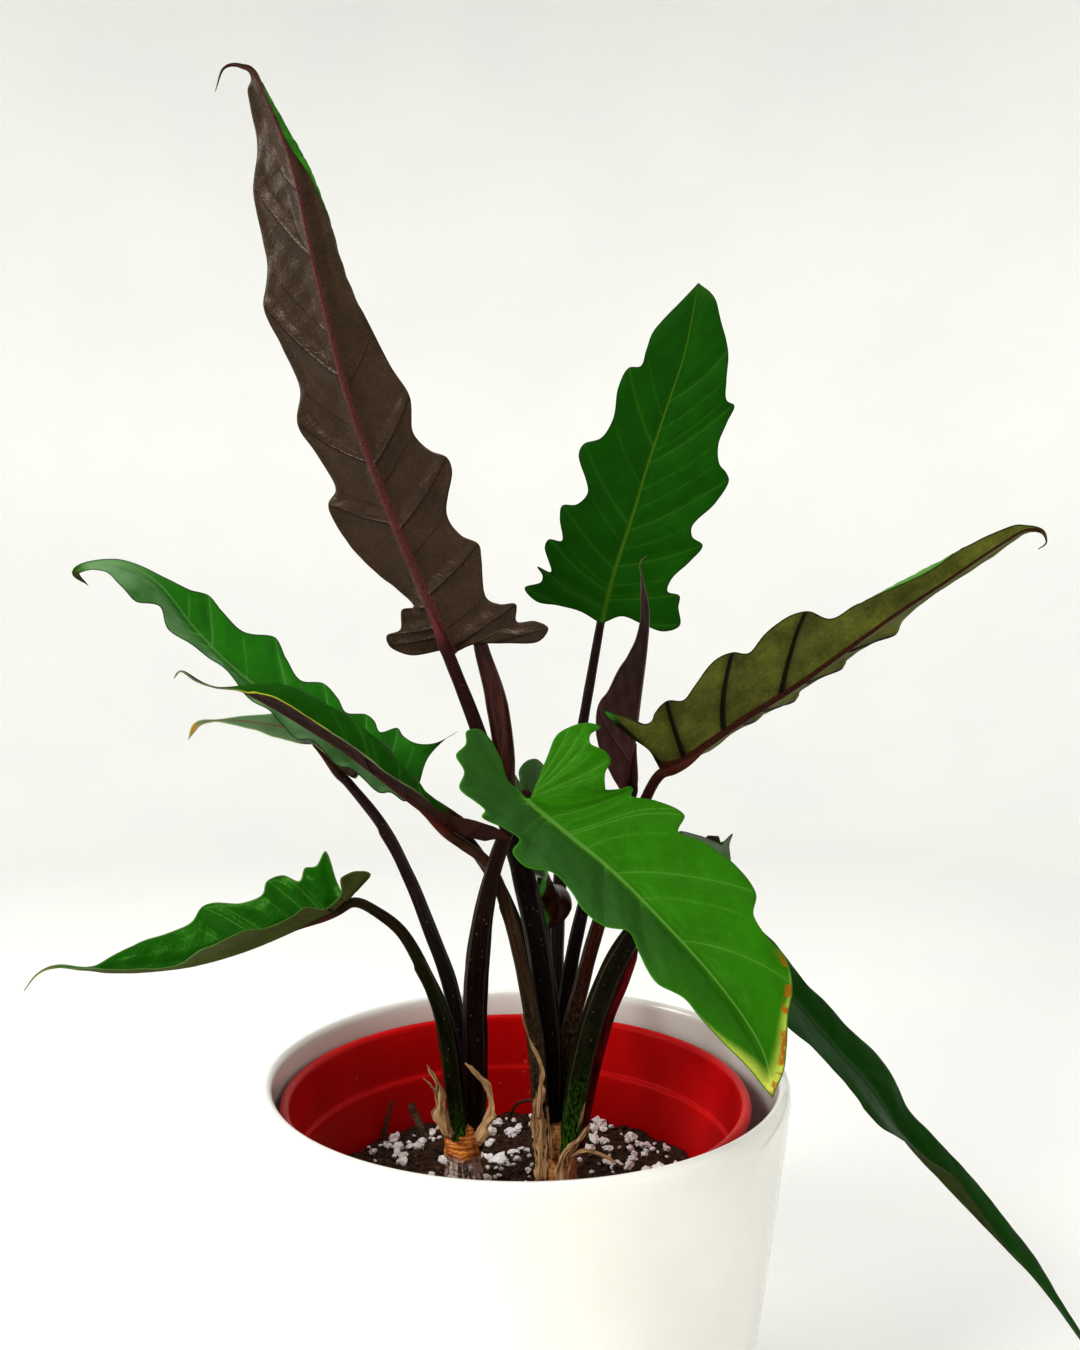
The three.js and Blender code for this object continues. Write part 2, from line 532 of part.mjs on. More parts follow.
// A round or flattened stem along a curve. girth rows: [position 0 to 1, half width, half depth]
function stem(points, girth, { sides = 10, rings = 11, grow = 0 } = {}) {
  const path = curve(points);
  const verts = [];
  const faces = [];
  for (let i = 0; i < rings; i += 1) {
    const f = i / (rings - 1);
    const { p, t } = along(path, f * path.length);
    const wide = unit(cross(t, [0, 1, 0]));
    const deep = cross(wide, t);
    const [w, d] = read(girth, f);
    const ends = i === 0 ? -grow : (i === rings - 1 ? grow : 0);
    for (let k = 0; k < sides; k += 1) {
      const a = (k / sides) * 2 * Math.PI;
      const ring = add(add(p, t, ends), wide, Math.cos(a) * (w + grow));
      verts.push(add(ring, deep, Math.sin(a) * (d + grow)));
    }
  }
  for (let i = 0; i + 1 < rings; i += 1) {
    for (let k = 0; k < sides; k += 1) {
      const [a, b] = [i * sides + k, i * sides + ((k + 1) % sides)];
      faces.push([a, b, b + sides], [a, b + sides, a + sides]);
    }
  }
  const end = (rings - 1) * sides;
  for (let k = 1; k + 1 < sides; k += 1) {
    faces.push([0, k + 1, k], [end, end + k, end + k + 1]);
  }
  return solid(verts, faces);
}

// A body turned round a vertical axis. profile rows: [radius, height], from axis to axis
function turned(profile, sides, [x, y] = [0, 0], rough = () => 0) {
  const verts = [];
  const rows = profile.map(([r, z]) => {
    const start = verts.length;
    const count = r === 0 ? 1 : sides;
    for (let k = 0; k < count; k += 1) {
      const a = (k / sides) * 2 * Math.PI;
      const [px, py] = [Math.cos(a) * r, Math.sin(a) * r];
      verts.push([x + px, y + py, z + rough(px, py, z)]);
    }
    return { start, count };
  });
  const faces = [];
  for (let i = 0; i + 1 < rows.length; i += 1) {
    const [low, high] = [rows[i], rows[i + 1]];
    for (let k = 0; k < sides; k += 1) {
      const next = (k + 1) % sides;
      const [a, b] = [low.start + (k % low.count), low.start + (next % low.count)];
      const [c, d] = [high.start + (k % high.count), high.start + (next % high.count)];
      if (low.count > 1) faces.push([a, b, d]);
      if (high.count > 1) faces.push([a, d, c]);
    }
  }
  return solid(verts, faces);
}

// The largest piece of a body, so that a cut never leaves crumbs
function largest(body) {
  const pieces = body.decompose();
  return pieces.reduce((best, piece) => (piece.volume() > best.volume() ? piece : best));
}

const group = new THREE.Group();
function place(name, body, color, roughness) {
  const { vertProperties, triVerts, numProp } = body.getMesh();
  const flat = [];
  triVerts.forEach((v) => flat.push(...vertProperties.slice(v * numProp, v * numProp + 3)));
  const geometry = new THREE.BufferGeometry();
  geometry.setAttribute('position', new THREE.Float32BufferAttribute(flat, 3));
  geometry.computeVertexNormals();
  const material = new THREE.MeshStandardMaterial({ color, roughness, metalness: 0 });
  const mesh = new THREE.Mesh(geometry, material);
  mesh.name = name;
  group.add(mesh);
}

// White cachepot, closed below, with a rounded lip and a groove above a stepped foot
const outerPot = turned([
  [0, 0], [91, 0], [94, 1], [96.2, 5], [98.5, 30], [102, 56], [105.2, 86.5], [105.7, 88],
  [105.2, 89.4], [106.7, 90.6], [111.5, 125], [115, 151], [118, 175], [119.8, 192], [119.6, 197],
  [118.2, 199.6], [116.4, 200], [114.8, 199], [114, 196], [112.6, 175], [109.5, 151],
  [102, 97], [96, 40], [91, 14], [86, 9], [0, 9],
], POT_SIDES);
place('outer_pot', outerPot, 0xf3f2ee, 0.2);

// Red nursery pot with a rolled rim and a step below it
const innerPot = turned([
  [0, 9 + GAP], [78, 9 + GAP], [80.5, 12], [97.3, 138], [100, 160], [102.6, 163], [104.6, 184],
  [106.4, 184.6], [107.2, 187], [106.4, 189.4], [104, 189.6], [102.4, 187.6], [100.9, 164.5],
  [98.4, 161.5], [95.6, 138], [79, 13.6], [77, 11.4], [0, 11.4],
], POT_SIDES, [INNER_SHIFT, 0]);
place('inner_pot', innerPot, 0x8c0a10, 0.35);

// Ringed bases of the two clumps, standing in plain holes in the soil
const ringed = (levels, grow) => [
  [0, levels[0][1] - grow],
  ...levels.map(([r, z], i) => [r + grow, z + (i === 0 ? -grow : 0)]),
  [0, levels.at(-1)[1]],
];
const LEFT_LEVELS = [
  [9, 126], [11.4, 139], [11.2, 145], [8, 149], [7.2, 151.5], [8.3, 154], [7.8, 156.5], [8.5, 159],
  [7.7, 161.5], [7.4, BASE_TOP],
];
const RIGHT_LEVELS = [[8, 126], [9.6, 140], [9, 150], [9.5, 157], [8.8, BASE_TOP]];
const BASE_SIDES = 18;
const cormLeft = turned(ringed(LEFT_LEVELS, 0), BASE_SIDES, LEFT_BASE);
const cormRight = turned(ringed(RIGHT_LEVELS, 0), BASE_SIDES, RIGHT_BASE);
place('corm_left', cormLeft, 0x9a6630, 0.7);
place('corm_right', cormRight, 0x7c4a26, 0.75);

// Soil filling the nursery pot, its surface uneven, with lumps sunk into it
const uneven = (x, y, z) => {
  if (z < SOIL_TOP - 2) return 0;
  return 1.1 * Math.sin(x * 0.21 + 1) * Math.cos(y * 0.17) + 0.7 * Math.sin(x * 0.09 - y * 0.13);
};
const SOIL_RADIUS = 94.8;
const soilBed = turned([
  [0, 11.4 + GAP], [76.4, 11.4 + GAP], [78.6, 14], [SOIL_RADIUS - 0.6, SOIL_TOP - 4],
  [SOIL_RADIUS, SOIL_TOP], [84, SOIL_TOP + 1], [68, SOIL_TOP], [52, SOIL_TOP + 0.6],
  [36, SOIL_TOP + 0.4], [18, SOIL_TOP + 1], [0, SOIL_TOP + 0.5],
], 30, [INNER_SHIFT, 0], uneven);
const LUMPS = 64;
const LUMP_LIFT = 0.9;
const LUMP_FIELD = 88;
const lumps = [];
for (let i = 0; i < LUMPS; i += 1) {
  const reach = Math.sqrt(random(0.02, 1)) * LUMP_FIELD;
  const turn = random(0, 2 * Math.PI);
  const [x, y] = [INNER_SHIFT + Math.cos(turn) * reach, Math.sin(turn) * reach];
  const size = random(1.6, 3.4) * (i % 9 === 0 ? 1.6 : 1);
  const spin = random(0, Math.PI);
  const verts = [[1, 0, 0], [-1, 0, 0], [0, 1, 0], [0, -1, 0], [0, 0, 1], [0, 0, -1]].map((v) => {
    const [a, b, c] = v.map((u) => u * size * random(0.8, 1.2));
    const across = a * Math.cos(spin) - b * Math.sin(spin);
    const along = a * Math.sin(spin) + b * Math.cos(spin);
    return [x + across, y + along, SOIL_TOP + LUMP_LIFT + size * 0.25 + c * 0.8];
  });
  const sides = [
    [0, 2, 4], [2, 1, 4], [1, 3, 4], [3, 0, 4], [2, 0, 5], [1, 2, 5], [3, 1, 5], [0, 3, 5],
  ];
  lumps.push(solid(verts, sides));
}
const twig = (points, r) => stem(points, [[0, r, r], [1, r * 0.7, r * 0.7]], { sides: 6, rings: 4 });
const twigs = [
  twig([[-72, 30, 137], [-69, 31, 150], [-65, 33, 163]], 1.6),
  twig([[-58, 28, 168], [-52, 27, 158], [-46, 26, 138]], 1.9),
  twig([[6, 20, 177], [-3, 22, 173], [-9, 25, 164], [-12, 27, 137]], 0.9),
];
const soil = wasm.Manifold.union([soilBed, ...lumps, ...twigs])
  .subtract(turned(ringed(LEFT_LEVELS, GAP), BASE_SIDES, LEFT_BASE))
  .subtract(turned(ringed(RIGHT_LEVELS, GAP), BASE_SIDES, RIGHT_BASE));
place('soil', largest(soil), 0x3a2a20, 0.95);

// Blades
const BLADES = [
  ['blade_tall', TALL, 0x49362d],
  ['blade_upright', UPRIGHT, 0x1d5016],
  ['blade_left_upper', LEFT_UPPER, 0x2c6a22],
  ['blade_left_middle', LEFT_MIDDLE, 0x3c5a24],
  ['blade_left_back', LEFT_BACK, 0x587858],
  ['blade_left_lower', LEFT_LOWER, 0x2d6a1e],
  ['blade_front', FRONT, 0x2f7a20],
  ['blade_right', RIGHT, 0x4c4622],
  ['blade_young', YOUNG, 0x3c2628],
  ['blade_trailing', TRAILING, 0x1a4018],
  ['blade_inner', INNER, 0x3c5638],
];
BLADES.forEach(([name, shape, color]) => place(name, blade(shape), color, 0.4));

// Leaf stalks from the clumps up to just under their blades
const SHEATHED = [[0, 4, 4], [0.1, 4.6, 4.2], [0.45, 5, 4], [0.62, 3.6, 3.2], [1, 2.6, 2.5]];
const SLIM = [[0, 3.4, 3.2], [0.3, 4, 3.4], [0.6, 3.2, 3], [1, 2.3, 2.2]];
const THICK = [[0, 4.4, 4], [0.2, 5.6, 4.4], [0.5, 5.6, 4.2], [0.72, 3.8, 3.4], [1, 2.8, 2.6]];
// Top of a stalk, running on a little way just under the midrib of the blade it carries
const TUCK = 5;
const TUCK_GAP = 0.65;
function below(shape, radius, reach) {
  const leaf = ready(shape);
  const { p, n, f } = leafFrame(leaf, reach);
  const [left, right] = read(leaf.fold, f);
  const steep = Math.cos(THREE.MathUtils.degToRad((left + right) / 2));
  const skin = BLADE_THICK / 2 / Math.max(MITRE_LIMIT, steep);
  return add(p, n, -(radius + skin + (shape.hangs ? GAP : TUCK_GAP)));
}
const RIGHT_STALKS = [
  ['stalk_trailing', TRAILING, THICK, 0x2d2f1c, [
    [19, -5, 166], [26, -5, 204], [34, -2, 231], [45, 3, 253], [60, 9, 272], [77, 14, 287],
  ]],
  ['stalk_tall', TALL, THICK, 0x251a1c, [
    [12, 1, 166], [11, 2, 211], [6, 3, 253], [-2, 5, 290], [-12, 6, 322], [-23, 7, 356],
  ]],
  ['stalk_left_middle', LEFT_MIDDLE, SLIM, 0x44372a, [
    [7, -5, 166], [5, -8, 209], [-2, -8, 250], [-11, -8, 282], [-18, -9, 296],
  ]],
  ['stalk_right', RIGHT, SLIM, 0x3a1d1a, [
    [21, 5, 166], [20, 8, 207], [26, 8, 235], [34, 6, 265], [43, 2, 293], [54, -3, 322],
  ]],
  ['stalk_young', YOUNG, SLIM, 0x33242a, [
    [17, 9, 166], [17, 15, 198], [20, 21, 232], [28, 25, 270], [37, 26, 295],
  ]],
  ['stalk_upright', UPRIGHT, SLIM, 0x2b2426, [
    [12, 10, 166], [13, 20, 190], [14, 36, 222], [16, 62, 263], [21, 84, 305], [30, 99, 352],
  ]],
  ['stalk_left_upper', LEFT_UPPER, SLIM, 0x2c2a22, [
    [7, 7, 166], [5, 14, 207], [0, 17, 244], [-10, 17, 273], [-23, 17, 295], [-38, 16, 313],
  ]],
  ['stalk_inner', INNER, [[0, 2.6, 2.6], [1, 1.8, 1.8]], 0x34302a, [
    [13, 6, 166], [12, 19, 200], [11, 28, 230], [9, 33, 262], [5, 34, 292],
  ]],
];
const LEFT_STALKS = [
  ['stalk_front', FRONT, THICK, 0x2a1815, [
    [-24, 0, 166], [-23, -3, 203], [-23, -7, 232], [-20, -12, 266], [-15, -15, 291], [-8, -17, 312],
  ]],
  ['stalk_left_lower', LEFT_LOWER, [[0, 4, 4], [0.35, 4.4, 3.8], [0.6, 3, 2.8], [1, 2, 2]], 0x26301a, [
    [-30, -3, 166], [-34, -9, 205], [-38, -15, 230], [-46, -23, 253], [-54, -31, 270], [-65, -38, 281],
  ]],
  ['stalk_left_back', LEFT_BACK, SLIM, 0x2e2628, [
    [-28, 7, 166], [-30, 10, 199], [-36, 13, 233], [-46, 17, 259], [-56, 22, 282], [-69, 26, 306],
  ]],
];
[RIGHT_STALKS, LEFT_STALKS].forEach((clump) => {
  const taken = [];
  clump.forEach(([name, shape, girth, color, points]) => {
    const end = Math.max(...girth.at(-1).slice(1));
    const reaches = shape.hangs ? [0] : [-TUCK / 2, TUCK];
    const path = [...points, ...reaches.map((reach) => below(shape, end, reach))];
    path[0] = [...path[0].slice(0, 2), BASE_TOP - 2];
    let body = stem(path, girth);
    const keep = stem(path, girth, { grow: GAP });
    if (name === 'stalk_trailing') {
      const edge = [[25, 1, BASE_TOP + 3], [31, 1, 193], [38, 1, 221], [45, 3, 238], [52, 6, 258]];
      body = body.add(stem(edge, [[0, 2.2, 2], [1, 3, 2.6]], { sides: 8, rings: 8 }));
    }
    if (taken.length) body = body.subtract(wasm.Manifold.union(taken));
    body = largest(body.trimByPlane([0, 0, 1], BASE_TOP + GAP));
    place(name, body, color, 0.45);
    taken.push(keep);
  });
});

// The furled new leaf beside the tall leaf's stalk
place('spear', stem([
  [-5, 12, 300], [-9, 13, 321], [-11, 13, 347], [-15, 13, 371], [-21, 13, 392], [-25, 13, 412],
  [-29, 12, 430],
], [[0, 2.4, 2.4], [0.3, 5, 3.6], [0.5, 5.2, 3.6], [0.8, 2.6, 2], [1, 0.5, 0.5]]), 0x5a1e14, 0.3);

// Dry papery sheaths, each standing on the side of a ringed base
const PAPER = [[0, 1.2, 0.5], [0.3, 2.6, 0.6], [0.7, 3, 0.7], [1, 1.6, 0.5]];
const SHEATHS = [
  ['dry_sheath_left_a', [
    [-44, -17, 206], [-39, -15, 196], [-38.5, -11.5, 186], [-36.5, -9, 174], [-33.3, -6.75, 160],
  ]],
  ['dry_sheath_left_b', [
    [-27, -17, 207], [-19, -14.5, 197], [-16, -12, 187], [-18.5, -9.3, 174], [-24.7, -6, 160],
  ]],
  ['dry_sheath_right', [
    [-2, -16, 229], [3, -17, 216], [8, -16, 200], [7, -13, 184], [7.5, -10.5, 170], [9.3, -7, 158],
  ]],
  ['dry_knot_right', [
    [29, -14, 178], [25, -12, 170], [20.5, -9.5, 164], [22, -8, 156], [19, -6.6, 146],
  ]],
];
SHEATHS.forEach(([name, points]) => {
  place(name, stem(points, PAPER, { sides: 8, rings: 9 }), 0xb78a55, 0.8);
});

export default group;
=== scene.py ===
"""Potted alocasia with long arrow-shaped leaves, in a red nursery pot inside a white cachepot.

Sizes are in millimetres until a mesh is made, then in metres. Origin at the centre of the white
pot's base, +Z up, +X to the viewer's right, +Y away from the viewer.
"""
import math
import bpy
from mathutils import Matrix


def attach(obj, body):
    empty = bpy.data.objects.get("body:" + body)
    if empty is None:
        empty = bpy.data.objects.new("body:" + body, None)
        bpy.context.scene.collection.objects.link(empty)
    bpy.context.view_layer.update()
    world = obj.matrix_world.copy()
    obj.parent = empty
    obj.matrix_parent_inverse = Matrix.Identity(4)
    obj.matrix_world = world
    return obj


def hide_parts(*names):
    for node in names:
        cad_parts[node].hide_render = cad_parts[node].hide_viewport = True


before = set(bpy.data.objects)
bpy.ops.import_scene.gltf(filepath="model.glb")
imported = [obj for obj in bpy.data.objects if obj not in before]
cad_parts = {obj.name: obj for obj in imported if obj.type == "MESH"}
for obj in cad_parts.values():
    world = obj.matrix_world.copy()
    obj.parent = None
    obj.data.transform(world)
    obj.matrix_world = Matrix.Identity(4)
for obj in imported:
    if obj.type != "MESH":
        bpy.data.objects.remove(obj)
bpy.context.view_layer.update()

from types import SimpleNamespace

import bpy
import numpy as np
from mathutils import Vector, geometry, noise

MM = 0.001

# Camera of the photograph
CAMERA_PLACE = (6.5, -532.6, 395.1)
CAMERA_TILT = math.radians(88.41)
CAMERA_LENS = 31.01
CAMERA_SENSOR = 36.0

# Driving sizes, as in the solids
SOIL_TOP = 138
SOIL_RADIUS = 94.8
INNER_SHIFT = -4.5
LEFT_BASE = (-29, 2)
RIGHT_BASE = (14, 3)
TIP_CLEAR = 2.5
TAIL_FROM = -15
TAIL_REACH = 60
CURL_REACH = 2.4
BEND_REACH = 40
BLADE_THICK = 0.8
MITRE_LIMIT = 0.5
TUCK = 5
TUCK_GAP = 0.65

# Sizes of the finer leaf surface. ROW_STEP is the height of an even triangle, FAR is beyond any vein.
POINT_STEP = 1.0
SKIN = 0.25
SKIN_EDGE = 0.09
MIDRIB_SOFT = 3.0
RIM_WAVE = 1.5
RIM_REACH = 9.0
QUILT_REACH = 7.0
RIPPLE = 0.08
VEIN_WIDE = 1.0
VEIN_LEAN = 0.1
VEIN_LEAN_MORE = 1.9
PLAIN_RIB = (1.9, 1.3)
ROW_STEP = 0.866
FAR = 99.0

# Sizes of the other pieces
POT_SIDES = 192
BASE_SIDES = 96
BASE_SHIFT = -1.5
BASE_CLEAR = 12.5
CRUMBS = 1200
WHITE_GRAINS = 520
GRAIN_SQUASH = 0.75
WING_HIGH = 0.9
PAPER_THICK = 0.25
PAPER_TEAR = 0.8
FLOOR_RADIUS = 1700
WALL_RADIUS = 2600
WALL_TOP = 2600
STAGE_SIDES = 96

# Leaf tables. slot: the part of the look it belongs to. mid: midrib from the stalk to the tip.
# quilt: how far the blade swells between its veins. rib: half width and height of the midrib.
# faces: [share of the midrib, direction of the upper side]. One row holds for the whole leaf.
# fold, bend: [share, left, right], how far the two halves rise and curl, in degrees.
# left, right: [distance along the midrib, distance out, 1 at a lobe or -1 at a notch],
# from the notch behind the stalk round the hind lobe to the tip.
# curl: (side, turn in degrees, [distance along the midrib, distance out where the edge rolls over]).
# tail: direction of the hind lobes. hangs: no stalk under the midrib. lobes_only: no veins to the notches.
TALL = {
    "slot": "leaf_under", "quilt": 1.5, "rib": (2.6, 1.6),
    "mid": [[-34, 5, 389], [-56, 2, 440], [-78, -6, 500], [-92, -14, 558], [-102, -20, 605],
        [-115, -24, 637], [-122, -25.5, 642.5], [-129, -27, 641], [-132.5, -28, 631]],
    "faces": [[0, [0.25, 1, 0.35]], [0.6, [0.3, 1, 0.35]], [1, [0.3, 1, 0.3]]],
    "fold": [[0, 8, 8], [0.6, 12, 12], [1, 20, 20]],
    "bend": [[0, -12, -12], [1, -5, -5]],
    "curl": (-1, -165, [
        [150, 18.5], [163, 14.6], [176, 11.9], [190, 11.2], [205, 9.5], [220, 7], [230, 4.4], [238, 2.8],
        [250, 1.5], [256, 0.8]]),
    "left": [[1, 3, -1], [1, 12, 0.2], [-4, 26, 0.3], [-9, 42, 0.7], [-5, 49, 1], [0, 44, 0],
        [3, 35, -0.8], [10, 39, 1], [13, 31, -0.2], [18, 26, -1], [35, 32, 0.4], [42, 34, 1],
        [50, 27, 0.2], [61, 24, -1], [79, 35, 0.6], [85, 35, 1], [91, 28, 0], [101, 23, -1], [117, 28, 1],
        [133, 23, 0], [150, 18.5, -0.8], [163, 16, 0.2], [176, 13.4, 0], [190, 12.8, 0.3], [205, 11.5, 0],
        [220, 10, 0.2], [235, 8, 0], [248, 5.5, 0.2], [258, 3.5, 0.2], [267, 2, 0]],
    "right": [[4, 3, -1], [8, 20, 0.4], [16, 28, 0.8], [21, 27, 1], [21, 20, -0.2], [29, 14, 0.8],
        [28, 9, -1], [39, 13, 0], [47, 18, 0.5], [65, 27, 0.2], [85, 29, 1], [90, 24, -1], [107, 26, 0],
        [122, 30, 1], [136, 25, -1], [155, 28, 0], [174, 32, 1], [190, 27, -1], [225, 24, 1],
        [243, 16, -1], [264, 7, 0.3], [267, 2, 0]],
}

UPRIGHT = {
    "slot": "leaf_green", "quilt": 1.0,
    "mid": [[40, 104, 405], [47, 108, 433], [58, 115, 466], [68, 123, 498], [80, 132, 533],
        [90, 140, 563], [99, 152, 605]],
    "faces": [[0, [0.1, -1, 0.2]]],
    "fold": [[0, 8, 8], [1, 6, 6]],
    "left": [[1, 3, -1], [4, 13, 0], [4, 26, 0.2], [3, 38, 0.5], [9, 46, 1], [14, 38, -0.3], [17, 38, -1],
        [21, 42, 0.8], [20, 34, -1], [31, 41, 0.5], [35, 40, 1], [36, 33, -1], [47, 38, 0.3], [55, 39, 1],
        [58, 32, 0], [67, 28, -1], [87, 39, 0.6], [94, 38, 1], [100, 30, 0], [112, 27, -1],
        [132, 30, 0.2], [146, 28, 1], [149, 22, -0.3], [159, 22, -1], [174, 21, 0.3], [186, 16, 0.6],
        [200, 8, 0.2], [212, 2, 0]],
    "right": [[2, 2, -1], [7, 10, 0], [5, 23, 0.2], [4, 34, 0.6], [9, 42, 1], [19, 39, 0.3], [27, 38, 1],
        [27, 31, -0.6], [35, 31, -1], [49, 38, 0.2], [60, 42, 1], [62, 35, -0.4], [67, 33, -1],
        [84, 42, 0.2], [101, 46, 1], [105, 43, 0.5], [108, 38, -0.6], [119, 34, -1], [134, 35, 0.2],
        [147, 36, 1], [147, 31, -0.6], [158, 27, -1], [176, 24, 0.8], [192, 17, 0.2], [208, 10, 0.2],
        [214, 4, 0.1]],
}

LEFT_UPPER = {
    "slot": "leaf_green", "quilt": 1.2,
    "mid": [[-50, 14, 326], [-71, 13, 340], [-92, 12, 354], [-113, 10, 367], [-133, 8, 381],
        [-152, 5, 401], [-168, 2, 422], [-183, 0, 431], [-196, -2, 431], [-204, -4, 427], [-198, -5, 421]],
    "faces": [[0, [0.35, -0.75, 0.5]], [0.6, [0.3, -0.8, 0.5]], [1, [0.3, -0.8, 0.5]]],
    "fold": [[0, 25, 15], [0.6, 25, 10], [1, 30, 10]],
    "left": [[2, 4, -1], [3, 13, 0.5], [11, 15, -0.5], [15, 18, 0.7], [32, 16, -0.6], [37, 18, 0.7],
        [55, 14, -0.6], [61, 17, 0.8], [79, 11, -0.8], [88, 10, 0.8], [104, 5, -0.8], [114, 6, 0.5],
        [125, 9, 0.3], [135, 13, 1], [145, 10, -0.8], [154, 19, 1], [169, 17, -0.3], [184, 5, 0],
        [193, 2, 0]],
    "right": [[2, 2, -1], [5, 15, 0.2], [3, 28, 0.5], [0, 35, 1], [6, 23, -0.4], [14, 17, -1],
        [21, 18, 0.5], [25, 20, 1], [31, 12, -1], [36, 16, 0.3], [41, 17, 1], [49, 11, -1], [56, 16, 0.3],
        [65, 19, 1], [75, 13, -1], [86, 19, 0.3], [99, 25, 1], [113, 15, -1], [128, 15, 0.3],
        [138, 15, 1], [145, 8, -1], [156, 4, 0.4], [170, 2, 0], [184, 2, 0.1], [193, 2, 0]],
}

LEFT_MIDDLE = {
    "slot": "leaf_green", "quilt": 0.9,
    "mid": [[-28, -10, 308], [-47, -15, 322], [-64, -19, 336], [-79, -23, 348], [-94, -26, 358],
        [-108, -29, 367], [-121, -31, 374], [-133, -33, 376], [-141, -34, 379], [-147, -35, 383],
        [-150, -36, 380]],
    "faces": [[0, [0.4, -0.05, 0.9]]],
    "fold": [[0, 26, 40], [0.6, 24, 38], [1, 15, 30]],
    "left": [[-2, 1, -1], [-5, 13, 0], [-6, 29, 0.2], [-7, 44, 1], [-1, 43, 0.3], [6, 40, 0.8],
        [9, 27, -0.4], [14, 15, -0.6], [21, 13, -0.4], [30, 23, 0.6], [39, 14, -0.6], [48, 16, 0.6],
        [59, 12, -0.6], [70, 20, 0.7], [81, 15, -0.5], [92, 22, 0.5], [103, 20, -0.3], [110, 16, 0.2],
        [118, 1, 0], [129, 1, 0], [139, 2, 0]],
    "right": [[3, 1, -1], [3, 7, 0.3], [2, 11, 0.8], [8, 9, -0.5], [14, 11, 0.5], [23, 8, -0.8],
        [31, 14, 0.7], [42, 12, -0.7], [49, 20, 1], [60, 16, -0.8], [72, 21, 0.8], [82, 17, -0.6],
        [93, 19, 0.6], [104, 15, -0.2], [112, 10, 0.2], [119, 4, 0], [129, 1, 0], [139, 2, 0]],
}

LEFT_BACK = {
    "slot": "leaf_green", "quilt": 0.5,
    "mid": [[-85, 30, 330], [-96, 28, 341], [-109, 25, 352], [-122, 22, 356], [-136, 20, 358],
        [-149, 18, 358], [-156, 17, 356], [-160, 16, 349]],
    "faces": [[0, [0.4, -0.2, 0.9]], [0.5, [0.3, -0.45, 0.85]], [1, [0.3, -0.45, 0.85]]],
    "fold": [[0, 50, 30], [0.3, 30, 30], [0.5, 5, 25], [1, 5, 20]],
    "left": [[-2, 2, -1], [1, 19, 1], [6, 10, -0.6], [13, 12, 0.4], [20, 1, -0.3], [29, 26, 0.8],
        [42, 14, -0.3], [52, 7, 0.4], [62, 5, 0], [73, 1, 0], [81, 2, 0]],
    "right": [[2, 3, -1], [2, 15, 0.6], [1, 21, 1], [10, 11, -0.7], [19, 12, 0.7], [29, 7, -0.6],
        [35, 9, 0.7], [44, 7, -0.5], [52, 6, 0.5], [62, 3, 0], [72, 1, 0], [81, 2, 0]],
}

LEFT_LOWER = {
    "slot": "leaf_green", "quilt": 2.2, "rib": (1.4, 0.9),
    "mid": [[-76, -42, 286], [-86, -44, 281], [-101, -47, 274], [-119, -50, 267], [-139, -53, 262],
        [-161, -55, 260], [-181, -56, 261], [-192, -57, 262], [-200, -58, 259], [-206, -58, 252]],
    "faces": [[0, [0.3, -0.3, 0.9]], [1, [0.2, -0.3, 0.9]]],
    "fold": [[0, 57, 38], [0.5, 52, 36], [0.8, 40, 30], [1, 20, 20]],
    "left": [[-2, 1, -1], [-8, 11, 0.4], [-15, 23, 1], [-10, 33, 0.5], [-5, 33, 0.3], [1, 10, -0.6],
        [8, 9, 0.7], [15, 19, -0.5], [22, 19, 0.5], [32, 17, -0.2], [41, 23, -0.5], [51, 23, 0.5],
        [61, 17, -0.2], [73, 6, 0.3], [87, 6, 0], [107, 7, 0], [126, 1, 0]],
    "right": [[0, 3, -1], [0, 10, 0.2], [-1, 25, 1], [5, 20, 0.2], [10, 22, 0.5], [14, 16, -1],
        [20, 24, 0.8], [28, 25, 1], [32, 18, -0.8], [42, 19, -0.4], [55, 25, 0.8], [61, 25, 1],
        [67, 17, -0.8], [80, 15, 0], [91, 13, 0.4], [101, 7, 0], [109, 1, 0], [126, 1, 0]],
}

